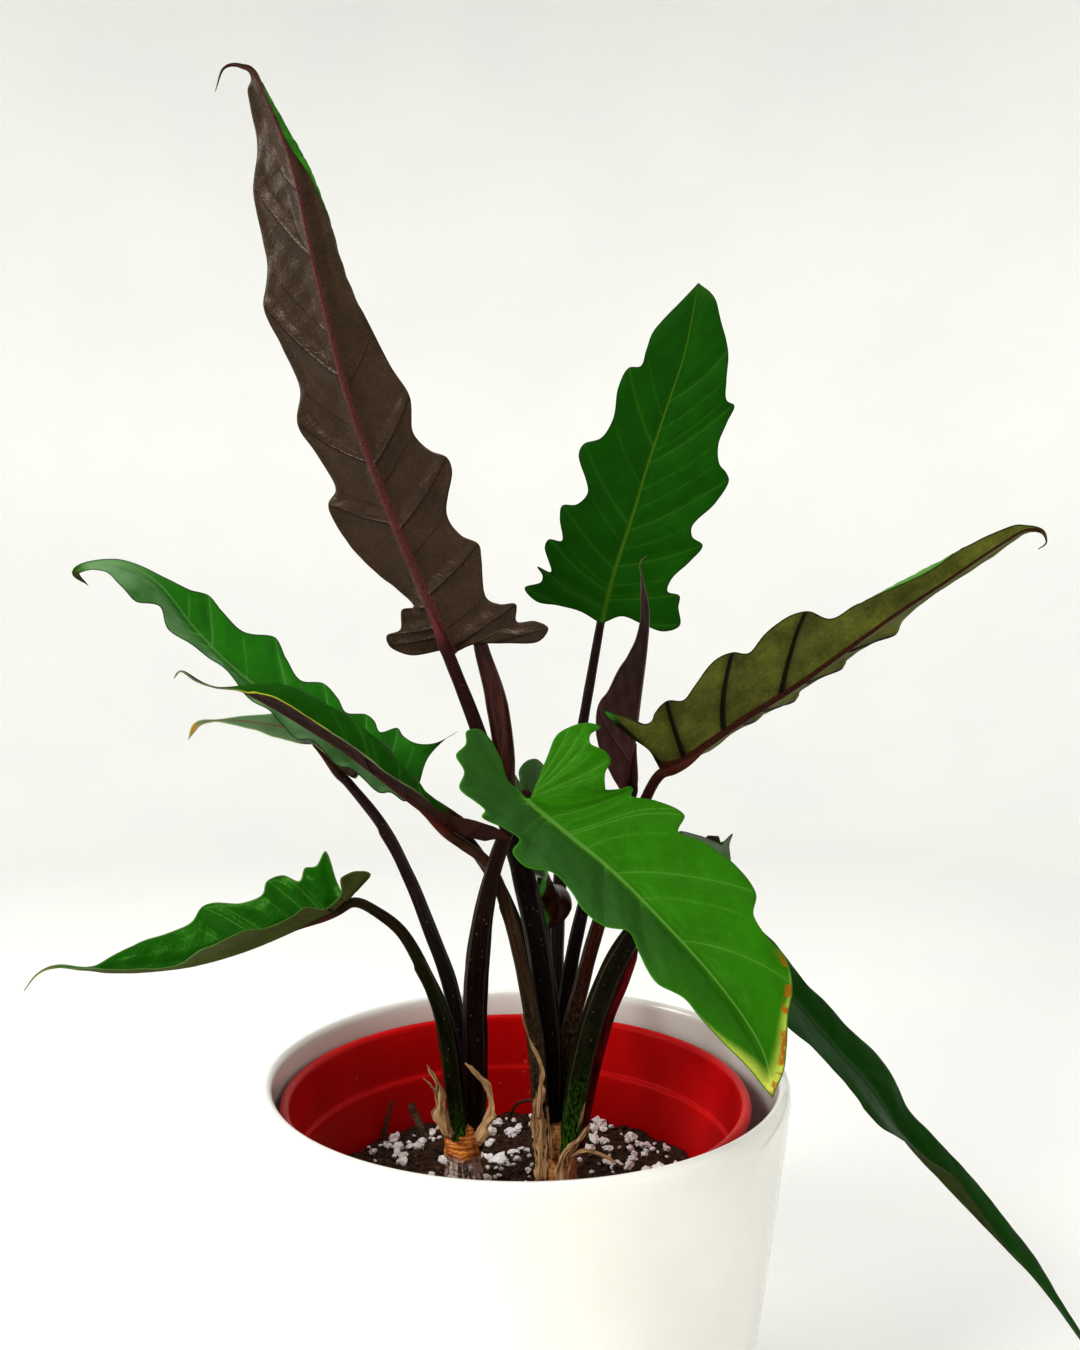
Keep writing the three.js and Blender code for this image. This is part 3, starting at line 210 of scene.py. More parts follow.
FRONT = {
    "slot": "leaf_green", "quilt": 1.2, "tail": [0.05, 0.3, 0.95],
    "mid": [[0, -20, 326], [19, -30, 312], [39, -42, 297], [60, -60, 278], [75, -74, 263], [87, -86, 248],
        [93, -92, 236], [95, -95, 222]],
    "faces": [[0, [0.17, -0.74, 0.65]]],
    "fold": [[0, 26, 26], [0.7, 26, 26], [1, 15, 15]],
    "bend": [[0, -8, -12], [0.5, -10, -12], [1, -5, -5]],
    "left": [[0, 2, -1], [-8, 5, 0], [-19, 9, 0.1], [-29, 13, 0.4], [-33, 19, 0.7], [-35, 27, 1],
        [-33, 33, 1], [-29, 28, -0.5], [-25, 28, -1], [-22, 35, 0.4], [-18, 38, 1], [-11, 35, -1],
        [14, 37, 0.6], [28, 35, 1], [34, 30, -1], [44, 36, 0.2], [52, 40, 0.8], [55, 40, 1], [59, 31, -1],
        [68, 36, 0], [85, 39, 0.5], [98, 37, 1], [105, 28, -1], [114, 27, 0.1], [123, 28, 0.6],
        [132, 24, 1], [141, 14, -0.3], [149, 9, 0.4], [156, 5, -0.2], [163, 3, 0]],
    "right": [[-3, 3, -1], [-7, 9, 0], [-17, 14, 0.2], [-25, 20, 0.5], [-28, 25, 1], [-26, 31, 0.6],
        [-20, 31, -0.4], [-15, 35, 1], [-8, 31, -1], [-3, 33, 1], [1, 29, 0], [7, 28, -1], [9, 31, 1],
        [15, 27, 0], [21, 26, -1], [24, 33, 0.8], [30, 34, 1], [38, 28, -0.8], [49, 28, 0], [64, 31, 0.5],
        [74, 28, 1], [82, 22, -1], [92, 25, 0.1], [106, 28, 0.8], [117, 22, 0.2], [128, 21, -0.5],
        [142, 15, 0.4], [155, 7, 0], [162, 2, 0]],
}

RIGHT = {
    "slot": "leaf_under", "quilt": 1.6, "rib": (2.4, 1.4), "lobes_only": True,
    "mid": [[62, -5, 338], [74, -7, 344], [96, -11, 360], [120, -15, 376], [141, -19, 392],
        [162, -23, 408], [182, -27, 422], [200, -30, 435], [213, -32, 443], [221, -33, 443],
        [223, -34, 438], [219, -35, 435]],
    "faces": [[0, [-0.4, 0.75, 0.5]]],
    "fold": [[0, 26, 5], [0.35, 30, 8], [0.6, 20, 10], [1, 24, 15]],
    "curl": (1, -165, [
        [106, 18], [114, 15.6], [124, 13.8], [136, 11.8], [148, 9.9], [160, 8.4], [168, 25]]),
    "left": [[2, 13, -1], [13, 4, 0.3], [23, 15, -0.3], [37, 11, 0], [47, 12, 1], [50, 18, -1],
        [59, 19, 0], [67, 22, 1], [70, 23, -1], [81, 16, 0], [92, 19, 1], [95, 20, -1], [108, 14, 0.2],
        [120, 19, 1], [125, 17, -1], [138, 6, 0.2], [151, 6, 0.2], [171, 8, 0.2], [184, 5, 0], [189, 2, 0]],
    "right": [[-1, 4, -1], [-1, 14, 0], [-5, 26, 0.2], [-8, 37, 0.6], [-9, 48, 1], [-4, 40, 0],
        [0, 34, -0.2], [3, 27, -1], [13, 33, 0], [22, 36, 0.9], [28, 28, -1], [37, 33, 0], [47, 38, 0.5],
        [55, 37, 1], [61, 29, -1], [72, 34, 0], [84, 35, 0.4], [93, 32, 1], [100, 17.5, -1], [112, 17, 0],
        [126, 15.6, 0.3], [140, 14.2, 0.2], [152, 11.8, 0], [162, 9, 0], [174, 7, 0.2], [185, 4, 0],
        [189, 2, 0]],
}

YOUNG = {
    "slot": "leaf_under", "quilt": 0.3, "rib": (1.5, 1.0),
    "mid": [[47, 25, 323], [51, 25, 345], [54, 24, 368], [57, 23, 392], [58, 22, 410], [55, 21, 426],
        [54, 21, 433], [58, 20, 437]],
    "faces": [[0, [-1, -0.25, 0]]],
    "fold": [[0, 58, 52], [0.7, 60, 55], [1, 35, 35]],
    "left": [[2, 2, 0], [11, 11, 0.2], [23, 17, 0.3], [38, 20, 0.8], [48, 15, 0], [56, 13, 0.3],
        [66, 8, 0], [78, 5, 0], [94, 4, 0], [107, 1, 0]],
    "right": [[1, 6, 0], [13, 22, 0.2], [26, 33, 0.3], [42, 37, 0.8], [50, 28, 0], [58, 24, 0.3],
        [67, 16, 0], [78, 10, 0], [95, 8, 0], [107, 2, 0]],
}

TRAILING = {
    "slot": "leaf_green", "quilt": 0.8,
    "mid": [[92, 18, 299], [95, 17, 282], [104, 15, 259], [122, 12, 234], [144, 9, 208], [162, 6, 188],
        [177, 4, 164], [196, 2, 143], [220, 0, 118], [243, -2, 92], [264, -4, 64]],
    "faces": [[0, [0.3, -0.35, 0.9]], [0.25, [0.5, -0.6, 0.6]], [1, [0.5, -0.6, 0.6]]],
    "fold": [[0, 10, 10], [0.45, 12, 15], [0.62, 12, 70], [0.85, 12, 70], [1, 20, 30]],
    "left": [[-1, 1, -1], [-3, 12, 1], [2, 6, -0.2], [14, 7, 0.4], [30, 10, 0.5], [44, 8, -0.5],
        [58, 12, 0.3], [72, 12, 0.6], [81, 10, -0.5], [94, 13, 0.3], [111, 13, 0.2], [125, 15, 0.5],
        [141, 15, 0.8], [155, 12, 0.2], [168, 13, -0.5], [183, 14, 0], [204, 14, 0.3], [224, 11, 0],
        [246, 9, 0.2], [266, 4, 0], [283, 2, 0]],
    "right": [[-3, 7, -1], [-8, 19, 0.3], [-13, 37, 1], [-5, 28, 0], [4, 21, -0.3], [16, 22, 0.4],
        [32, 23, -0.3], [47, 23, 0.5], [63, 25, -0.3], [80, 24, 0.5], [97, 20, -0.3], [113, 18, 0.2],
        [131, 20, 0.4], [143, 26, 0.4], [166, 14, 0.2], [183, 15, 0], [195, 14, 0.3], [221, 6, 0.2],
        [240, 1, 0], [260, 1, 0], [281, 3, 0]],
}

INNER = {
    "slot": "leaf_green", "quilt": 0.4, "rib": (1.0, 0.6), "hangs": True,
    "mid": [[0, 25, 317], [4, 22, 304], [9, 19, 287], [14, 17, 273], [9, 15, 259]],
    "faces": [[0, [0, -1, 0.25]], [0.35, [-0.2, -1, 0.1]], [0.6, [-1, 0.1, 0]], [0.8, [-0.3, 1, 0.2]],
        [1, [0, 1, 0.2]]],
    "fold": [[0, 8, 8], [1, 25, 25]],
    "bend": [[0, 0, 0], [1, 25, 25]],
    "left": [[-12, 0.25, -1], [-17, 1.2, 0.3], [-20.5, 6, 1], [-20, 11, 0.6], [-15, 14, -0.4],
        [-8, 17, 0.8], [6, 15, -0.6], [15, 11, 0.8], [24, 7, -0.8], [31, 11, 1], [37, 9, -1], [44, 13, 1],
        [50, 10, -1], [55, 9, 0.8], [58, 5, 0.4]],
    "right": [[-12, 0.25, -1], [-16, 1.2, 0.3], [-18, 5, 1], [-15, 11, -0.4], [-8, 16, 0.8],
        [6, 15, -0.6], [15, 16, 0.8], [26, 12, -0.6], [35, 15, 0.8], [46, 13, -0.5], [54, 9, 0.3],
        [58, 5, 0.2]],
}
NO_BEND = [[0, 0, 0]]


def read(table, x):
    """Values of a table of rows [position, ...values] at the positions x, one array a column."""
    places = [row[0] for row in table]
    return [np.interp(x, places, [row[k] for row in table]) for k in range(1, len(table[0]))]


def unit(v):
    return v / np.linalg.norm(v, axis=-1, keepdims=True)


def smooth(x):
    x = np.clip(x, 0, 1)
    return x * x * (3 - 2 * x)


class Curve:
    """A smooth line through points, measured by its length."""

    def __init__(self, points, steps=24):
        p = np.array(points, float)
        p = np.vstack([2 * p[0] - p[1], p, 2 * p[-1] - p[-2]])
        t = np.arange(steps)[:, None] / steps
        runs = []
        for a, b, c, d in zip(p, p[1:], p[2:], p[3:]):
            bend = (2 * a - 5 * b + 4 * c - d) * t * t + (3 * b - a - 3 * c + d) * t ** 3
            runs.append(0.5 * (2 * b + (c - a) * t + bend))
        self.line = np.vstack(runs + [p[-2:-1]])
        steps_long = np.linalg.norm(np.diff(self.line, axis=0), axis=1)
        self.reach = np.concatenate([[0], np.cumsum(steps_long)])
        self.length = self.reach[-1]
        self.tangents = unit(np.gradient(self.line, axis=0))

    def at(self, s):
        s = np.atleast_1d(np.asarray(s, float))
        p = np.stack([np.interp(s, self.reach, c) for c in self.line.T], 1)
        t = unit(np.stack([np.interp(s, self.reach, c) for c in self.tangents.T], 1))
        beyond = s - np.clip(s, 0, self.length)
        return p + t * beyond[:, None], t


class Leaf:
    """The surface of one leaf, from its table."""

    def __init__(self, data):
        self.data = data
        self.rib = Curve(data["mid"])
        self.length = self.rib.length
        self.tail = unit(np.array(data["tail"], float)) if "tail" in data else None

    def frame(self, s):
        s = np.atleast_1d(np.asarray(s, float))
        p, t = self.rib.at(s)
        f = np.clip(s / self.length, 0, 1)
        if self.tail is not None:
            p = np.where(s[:, None] < 0, self.rib.line[0] - s[:, None] * self.tail, p)
            ease = smooth((s - TAIL_FROM) / TAIL_REACH)[:, None]
            t = unit(t * ease - self.tail * (1 - ease))
        face = np.stack(read([[at, *v] for at, v in self.data["faces"]], f), 1)
        n = unit(face - (face * t).sum(1)[:, None] * t)
        return p, t, n, np.cross(t, n), f

    def surface(self, s, x, steps=32):
        """Points at distance s along the midrib and x across it, left of it where x is negative."""
        p, _, n, b, f = self.frame(s)
        side = np.where(x < 0, -1.0, 1.0)
        w = np.abs(x)
        pick = lambda table: np.radians(np.where(x < 0, *read(table, f)))
        fold = pick(self.data["fold"])
        bend = pick(self.data.get("bend", NO_BEND))
        across = np.zeros_like(w)
        rise = np.zeros_like(w)
        for i in range(steps):
            out = (i + 0.5) / steps * w
            angle = fold * smooth(out / MIDRIB_SOFT) + bend * out / BEND_REACH
            if "curl" in self.data:
                curl_side, turn, starts = self.data["curl"]
                start = read(starts, s)[0]
                near = np.where((side == curl_side) & (s > starts[0][0]), 1, 0)
                angle += math.radians(turn) * near * smooth((out - start) / CURL_REACH)
            across += np.cos(angle)
            rise += np.sin(angle)
        step = (w / steps)[:, None]
        return p + b * (side * across)[:, None] * step + n * rise[:, None] * step

    def below(self, radius, reach):
        """Middle of a stalk of that radius that runs just under the midrib."""
        p, _, n, _, f = self.frame(reach)
        left, right = read(self.data["fold"], f)
        steep = np.cos(np.radians((left + right) / 2))
        skin = BLADE_THICK / 2 / np.maximum(MITRE_LIMIT, steep)
        return (p - n * (radius + skin + TUCK_GAP)[:, None])[0]


def through(points, step):
    """A line through plane points (s, x, c), rounded where they turn, with points a step apart."""
    p = np.array(points, float)
    p = np.vstack([2 * p[0] - p[1], p, 2 * p[-1] - p[-2]])
    line = []
    for a, b, c, d in zip(p, p[1:], p[2:], p[3:]):
        knots = np.cumsum([0] + [math.sqrt(math.hypot(*(v - u)[:2])) + 1e-6
                                 for u, v in ((a, b), (b, c), (c, d))])
        count = max(2, round(math.hypot(*(c - b)[:2]) / step))
        for t in np.linspace(knots[1], knots[2], count, endpoint=False):
            def blend(u, v, i, j):
                return ((knots[j] - t) * u + (t - knots[i]) * v) / (knots[j] - knots[i])
            ab, bc, cd = blend(a, b, 0, 1), blend(b, c, 1, 2), blend(c, d, 2, 3)
            line.append(blend(blend(ab, bc, 0, 2), blend(bc, cd, 1, 3), 1, 2))
    return np.array(line + [p[-2]])


def nearest(points, line):
    """Distance of plane points to a line, and the place along it, as a number of its points."""
    a, b = line[:-1, :2], line[1:, :2]
    d = b - a
    size = np.maximum((d * d).sum(1), 1e-9)
    far = np.empty(len(points))
    place = np.empty(len(points))
    for start in range(0, len(points), 2000):
        q = points[start:start + 2000, None, :2] - a[None]
        k = np.clip((q * d).sum(2) / size, 0, 1)
        gap = np.linalg.norm(q - k[..., None] * d, axis=2)
        best = gap.argmin(1)
        rows = np.arange(len(best))
        far[start:start + 2000] = gap[rows, best]
        place[start:start + 2000] = best + k[rows, best]
    return far, place


def inside(points, ring):
    """Which plane points lie inside a closed ring."""
    a, b = ring, np.roll(ring, -1, axis=0)
    odd = np.zeros(len(points), bool)
    for (ax, ay), (bx, by) in zip(a, b):
        if ay != by:
            crosses = (points[:, 1] < ay) != (points[:, 1] < by)
            odd ^= crosses & (points[:, 0] < (bx - ax) * (points[:, 1] - ay) / (by - ay) + ax)
    return odd


def leaf_veins(leaf):
    """Side veins: from the midrib to each lobe, and weaker ones to the notches."""
    data = leaf.data
    veins = []
    for side, rows in ((-1, data["left"]), (1, data["right"])):
        for s, w, c in rows:
            if w < 5 or s > leaf.length * 0.93 or -0.6 < c < 0.68 or (c < 0 and "lobes_only" in data):
                continue
            lean = VEIN_LEAN + VEIN_LEAN_MORE * max(s, 0) / leaf.length
            root = max(s - lean * w, 0.0)
            reach, strength = (0.97, 1.0) if c > 0 else (0.9, 0.5)
            end = np.array([root + (s - root) * reach, side * w * reach])
            bow = np.array([root + (end[0] - root) * 0.34, end[1] * 0.5])
            count = max(6, int(math.hypot(end[0] - root, end[1]) / POINT_STEP))
            t = np.linspace(0, 1, count)[:, None]
            start = np.array([root, 0.0])
            veins.append(((1 - t) ** 2 * start + 2 * t * (1 - t) * bow + t * t * end, strength))
    return veins


def beside(line, gap):
    """The line moved sideways by the gap."""
    t = np.gradient(line[:, :2], axis=0)
    t /= np.maximum(np.linalg.norm(t, axis=1, keepdims=True), 1e-9)
    return line[:, :2] + np.stack([-t[:, 1], t[:, 0]], 1) * gap


def mesh_object(name, verts, faces, fields=(), material=None, flat=False):
    """A mesh from points in millimetres, with named fields on its points."""
    mesh = bpy.data.meshes.new(name)
    mesh.from_pydata((np.asarray(verts, float) * MM).tolist(), [], [list(f) for f in faces])
    for field, values in fields:
        values = np.asarray(values, np.float32)
        kind, key = ("FLOAT_VECTOR", "vector") if values.ndim == 2 else ("FLOAT", "value")
        mesh.attributes.new(field, kind, "POINT").data.foreach_set(key, values.ravel())
    mesh.polygons.foreach_set("use_smooth", [not flat] * len(mesh.polygons))
    mesh.validate()
    mesh.update()
    mesh.materials.append(material)
    piece = bpy.data.objects.new(name, mesh)
    bpy.context.scene.collection.objects.link(piece)
    return piece


def add(name, slot, nodes, made, material, flat=False):
    """A piece of (points, faces, fields) that rides on the plant and stands for the nodes named."""
    piece = mesh_object(name, *made, material=material, flat=flat)
    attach(piece, "root")
    if nodes:
        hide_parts(*nodes)


def ring_faces(rings, sides):
    """Quads between closed rings of points, each ring with as many points as sides."""
    i = np.arange((rings - 1) * sides)
    right = np.where(i % sides == sides - 1, i - sides + 1, i + 1)
    return np.stack([i, right, right + sides, i + sides], 1)


def full_turn(sides):
    return np.arange(sides) / sides * 2 * math.pi


def point_normals(verts, faces):
    corner = verts[faces]
    cross = np.cross(corner[:, 1] - corner[:, 0], corner[:, 2] - corner[:, 0])
    normals = np.zeros_like(verts)
    for k in range(3):
        np.add.at(normals, faces[:, k], cross)
    return unit(normals + 1e-12)


def blade_ring(leaf):
    """Outline of the flat blade, as [distance along the midrib, across it, lobe or notch]."""
    halves = []
    for side, rows in ((-1, leaf.data["left"]), (1, leaf.data["right"])):
        kept = [(s, side * w, c) for s, w, c in rows if s < leaf.length - TIP_CLEAR]
        halves.append(through(kept + [(leaf.length, 0, 0)], POINT_STEP))
    return np.vstack([[(0, 0, -1)], halves[0], halves[1][-2::-1]])


def flat_blade(leaf, ring, veins, rib_wide):
    """Points and triangles of the flat blade, closer together along its ribs."""
    length, step = leaf.length, POINT_STEP
    midrib = np.stack([np.arange(0, length, step), np.zeros(int(math.ceil(length / step)))], 1)
    midrib = np.vstack([midrib, [[length, 0]]])
    rows = [midrib + np.stack([np.zeros(len(midrib)), k * rib_wide(midrib[:, 0])], 1)
            for k in (-1, -0.5, 0.5, 1)]
    rows += [beside(line, k * VEIN_WIDE * (0.6 + 0.4 * strength))
             for line, strength in veins for k in (-1, -0.45, 0.45, 1)]
    rows += [line for line, _ in veins]
    low, high = ring[:, :2].min(0), ring[:, :2].max(0)
    grid_s, grid_x = np.meshgrid(np.arange(low[0], high[0], step),
                                 np.arange(low[1], high[1], step * ROW_STEP))
    grid_s = grid_s + (np.arange(grid_s.shape[0]) % 2)[:, None] * step / 2
    grid = np.stack([grid_s.ravel(), grid_x.ravel()], 1)
    near_vein = np.full(len(grid), FAR)
    for line, _ in veins:
        near_vein = np.minimum(near_vein, nearest(grid, line)[0])
    clear = 0.3 * step
    grid = grid[(near_vein > VEIN_WIDE + clear) & (np.abs(grid[:, 1]) > rib_wide(grid[:, 0]) + clear)]
    cell = 0.4 * step
    free = np.vstack(rows + [grid])
    free = free[inside(free, ring[:, :2])]
    free = free[nearest(free, np.vstack([ring, ring[:1]]))[0] > cell]
    free = free[np.abs(free[:, 1]) > 0.2]
    _, first = np.unique(np.round(free / cell).astype(int), axis=0, return_index=True)
    free = free[np.sort(first)]

    count = len(ring)
    edges = [(i, (i + 1) % count) for i in range(count)]
    tip = int(np.argmin(np.abs(ring[:, 0] - length) + np.abs(ring[:, 1])))
    chain = [0] + list(range(count, count + len(midrib) - 2)) + [tip]
    edges += list(zip(chain, chain[1:]))
    plane = [Vector(p) for p in np.vstack([ring[:, :2], midrib[1:-1], free])]
    made = geometry.delaunay_2d_cdt(plane, edges, [], 0, 1e-4, False)
    flat = np.array([tuple(v) for v in made[0]])
    faces = np.array(made[2])
    faces = faces[inside(flat[faces].mean(1), ring[:, :2])]
    used = np.unique(faces)
    index = np.full(len(flat), -1)
    index[used] = np.arange(len(used))
    flat, faces = flat[used], index[faces]
    turn = flat[faces]
    area = np.cross(turn[:, 1] - turn[:, 0], turn[:, 2] - turn[:, 0])
    return flat, np.where((area < 0)[:, None], faces[:, ::-1], faces)


def blade(name, data):
    """A leaf blade with raised ribs below, quilted between them, waved at its margin."""
    leaf = Leaf(data)
    wide, high = data.get("rib", PLAIN_RIB)
    taper = lambda s: (1 - np.clip(s / leaf.length, 0, 1)) ** 1.5
    rib_wide = lambda s: wide * taper(s) + 0.45
    ring = blade_ring(leaf)
    veins = leaf_veins(leaf)
    flat, faces = flat_blade(leaf, ring, veins, rib_wide)

    closed = np.vstack([ring, ring[:1]])
    rim, place = nearest(flat, closed)
    lobe = np.interp(place, np.arange(len(closed)), closed[:, 2])
    s, x = flat[:, 0], flat[:, 1]
    across = np.abs(x)
    vein = np.full(len(flat), FAR)
    near = across.copy()
    ridge = np.zeros(len(flat))
    for line, strength in veins:
        gap, along = nearest(flat, line)
        along = along / (len(line) - 1)
        spread = VEIN_WIDE * (0.6 + 0.4 * strength) * (1 - 0.5 * along)
        vein = np.minimum(vein, gap / strength / (1 - 0.4 * along))
        ridge = np.maximum(ridge, strength * 0.6 * (1 - 0.7 * along) * smooth(1 - gap / spread))
        if strength == 1:
            near = np.minimum(near, gap)
    keel = (high * taper(s) + 0.25) * smooth(1 - across / rib_wide(s))
    centre = leaf.surface(s, x)
    up = point_normals(centre, faces)
    _, _, n, _, _ = leaf.frame(s)
    if (up * n).sum() < 0:
        up = -up
        faces = faces[:, ::-1]
    edge = np.clip(1 - rim / RIM_REACH, 0, 1) ** 2
    swell = data["quilt"] * (smooth(near / QUILT_REACH) - 0.5) * smooth(rim / 6)
    ripple = RIPPLE * (np.sin(s * 0.55 + x * 0.3) + np.sin(s * 0.31 - x * 0.62 + 2)) * smooth(near / 4)
    centre = centre + up * (swell + ripple)[:, None] - n * (RIM_WAVE * lobe * edge)[:, None]
    up = point_normals(centre, faces)
    skin = np.minimum(SKIN, SKIN_EDGE + rim * 0.12)
    groove = 0.3 * keel / (high + 0.25) + 0.25 * ridge
    upper = centre + up * (skin - groove)[:, None]
    lower = centre - up * (skin + np.maximum(keel, ridge * smooth(rim / 2)))[:, None]

    total = len(flat)
    sides = np.vstack([faces[:, [0, 1]], faces[:, [1, 2]], faces[:, [2, 0]]])
    _, where, times = np.unique(np.sort(sides, axis=1), axis=0, return_index=True, return_counts=True)
    quads = [(b, a, a + total, b + total) for a, b in sides[where[times == 1]]]
    both = [list(f) for f in faces] + [list(f[::-1] + total) for f in faces] + quads
    fields = {"rim": rim, "vein": vein, "mid": across / (rib_wide(s) + 0.2), "along": s / leaf.length,
              "across": x, "flat": np.stack([s, x, np.zeros(total)], 1)}
    fields = [(key, np.concatenate([values, values])) for key, values in fields.items()]
    fields.append(("skin", np.repeat([1.0, 0.0], total)))
    add("leaf_" + name, data["slot"], ["blade_" + name], (np.vstack([upper, lower]), both, fields),
        leaf_material(name))


def colour(code):
    """Linear colour from a six-digit sRGB code."""
    parts = [int(code[i:i + 2], 16) / 255 for i in (0, 2, 4)]
    return tuple(c / 12.92 if c < 0.04045 else ((c + 0.055) / 1.055) ** 2.4 for c in parts)


class Tone:
    """What a material's node gives out, with plain arithmetic."""

    def __init__(self, paint, socket):
        self.paint = paint
        self.socket = socket

    def __add__(self, other):
        return self.paint.math("ADD", self, other)

    def __mul__(self, other):
        return self.paint.math("MULTIPLY", self, other)

    def __sub__(self, other):
        return self.paint.math("SUBTRACT", self, other)

    def __rsub__(self, other):
        return self.paint.math("SUBTRACT", other, self)

    def __truediv__(self, other):
        return self.paint.math("DIVIDE", self, other)

    __radd__ = __add__
    __rmul__ = __mul__


class Paint:
    """One procedural material, built by short calls."""

    def __init__(self, name):
        self.material = bpy.data.materials.new(name)
        self.material.use_nodes = True
        self.tree = self.material.node_tree
        self.tree.nodes.clear()

    def node(self, kind, out=None, inputs=(), **settings):
        made = self.tree.nodes.new(kind)
        for key, value in settings.items():
            setattr(made, key, value)
        for key, value in dict(inputs).items():
            if isinstance(value, Tone):
                self.tree.links.new(value.socket, made.inputs[key])
            else:
                made.inputs[key].default_value = (*colour(value), 1) if isinstance(value, str) else value
        return None if out is None else Tone(self, made.outputs[out])

    def field(self, name):
        return self.node("ShaderNodeAttribute", "Fac", attribute_name=name)

    def place(self, name):
        return self.node("ShaderNodeAttribute", "Vector", attribute_name=name)

    def object_place(self):
        return self.node("ShaderNodeTexCoord", "Object")

    def math(self, operation, a, b):
        return self.node("ShaderNodeMath", 0, {0: a, 1: b}, operation=operation)

    def most(self, a, b):
        return self.math("MAXIMUM", a, b)

    def step(self, value, low, high):
        """0 below low, 1 above high, or the other way round where low is above high."""
        ends = (low, high, 0.0, 1.0) if low < high else (high, low, 1.0, 0.0)
        names = ("From Min", "From Max", "To Min", "To Max")
        return self.node("ShaderNodeMapRange", 0, {"Value": value, **dict(zip(names, ends))},
                         interpolation_type="SMOOTHSTEP")

    def mix(self, amount, a, b):
        return self.node("ShaderNodeMix", 2, {0: amount, 6: a, 7: b}, data_type="RGBA")

    def noise(self, vector, scale, detail=3.0, rough=0.5, twist=0.0):
        return self.node("ShaderNodeTexNoise", "Fac", {"Vector": vector, "Scale": scale, "Detail": detail,
                                                       "Roughness": rough, "Distortion": twist})

    def cells(self, vector, scale, feature="F1"):
        return self.node("ShaderNodeTexVoronoi", "Distance", {"Vector": vector, "Scale": scale},
                         feature=feature)

    def stretch(self, vector, scale):
        return self.node("ShaderNodeMapping", 0, {"Vector": vector, "Scale": scale})

    def bump(self, height, distance):
        return self.node("ShaderNodeBump", 0, {"Height": height, "Distance": distance * MM, "Strength": 1.0})

    def surface(self, base, roughness, normal=None, through=None, **constants):
        inputs = {key.replace("_", " "): value for key, value in constants.items()}
        inputs.update({"Base Color": base, "Roughness": roughness})
        if normal:
            inputs["Normal"] = normal
        last = self.node("ShaderNodeBsdfPrincipled", 0, inputs)
        if through:
            amount, tint = through
            glow = self.node("ShaderNodeBsdfTranslucent", 0, {"Color": tint})
            last = self.node("ShaderNodeMixShader", 0, {0: amount, 1: last, 2: glow})
        self.node("ShaderNodeOutputMaterial", None, {"Surface": last})
        return self.material


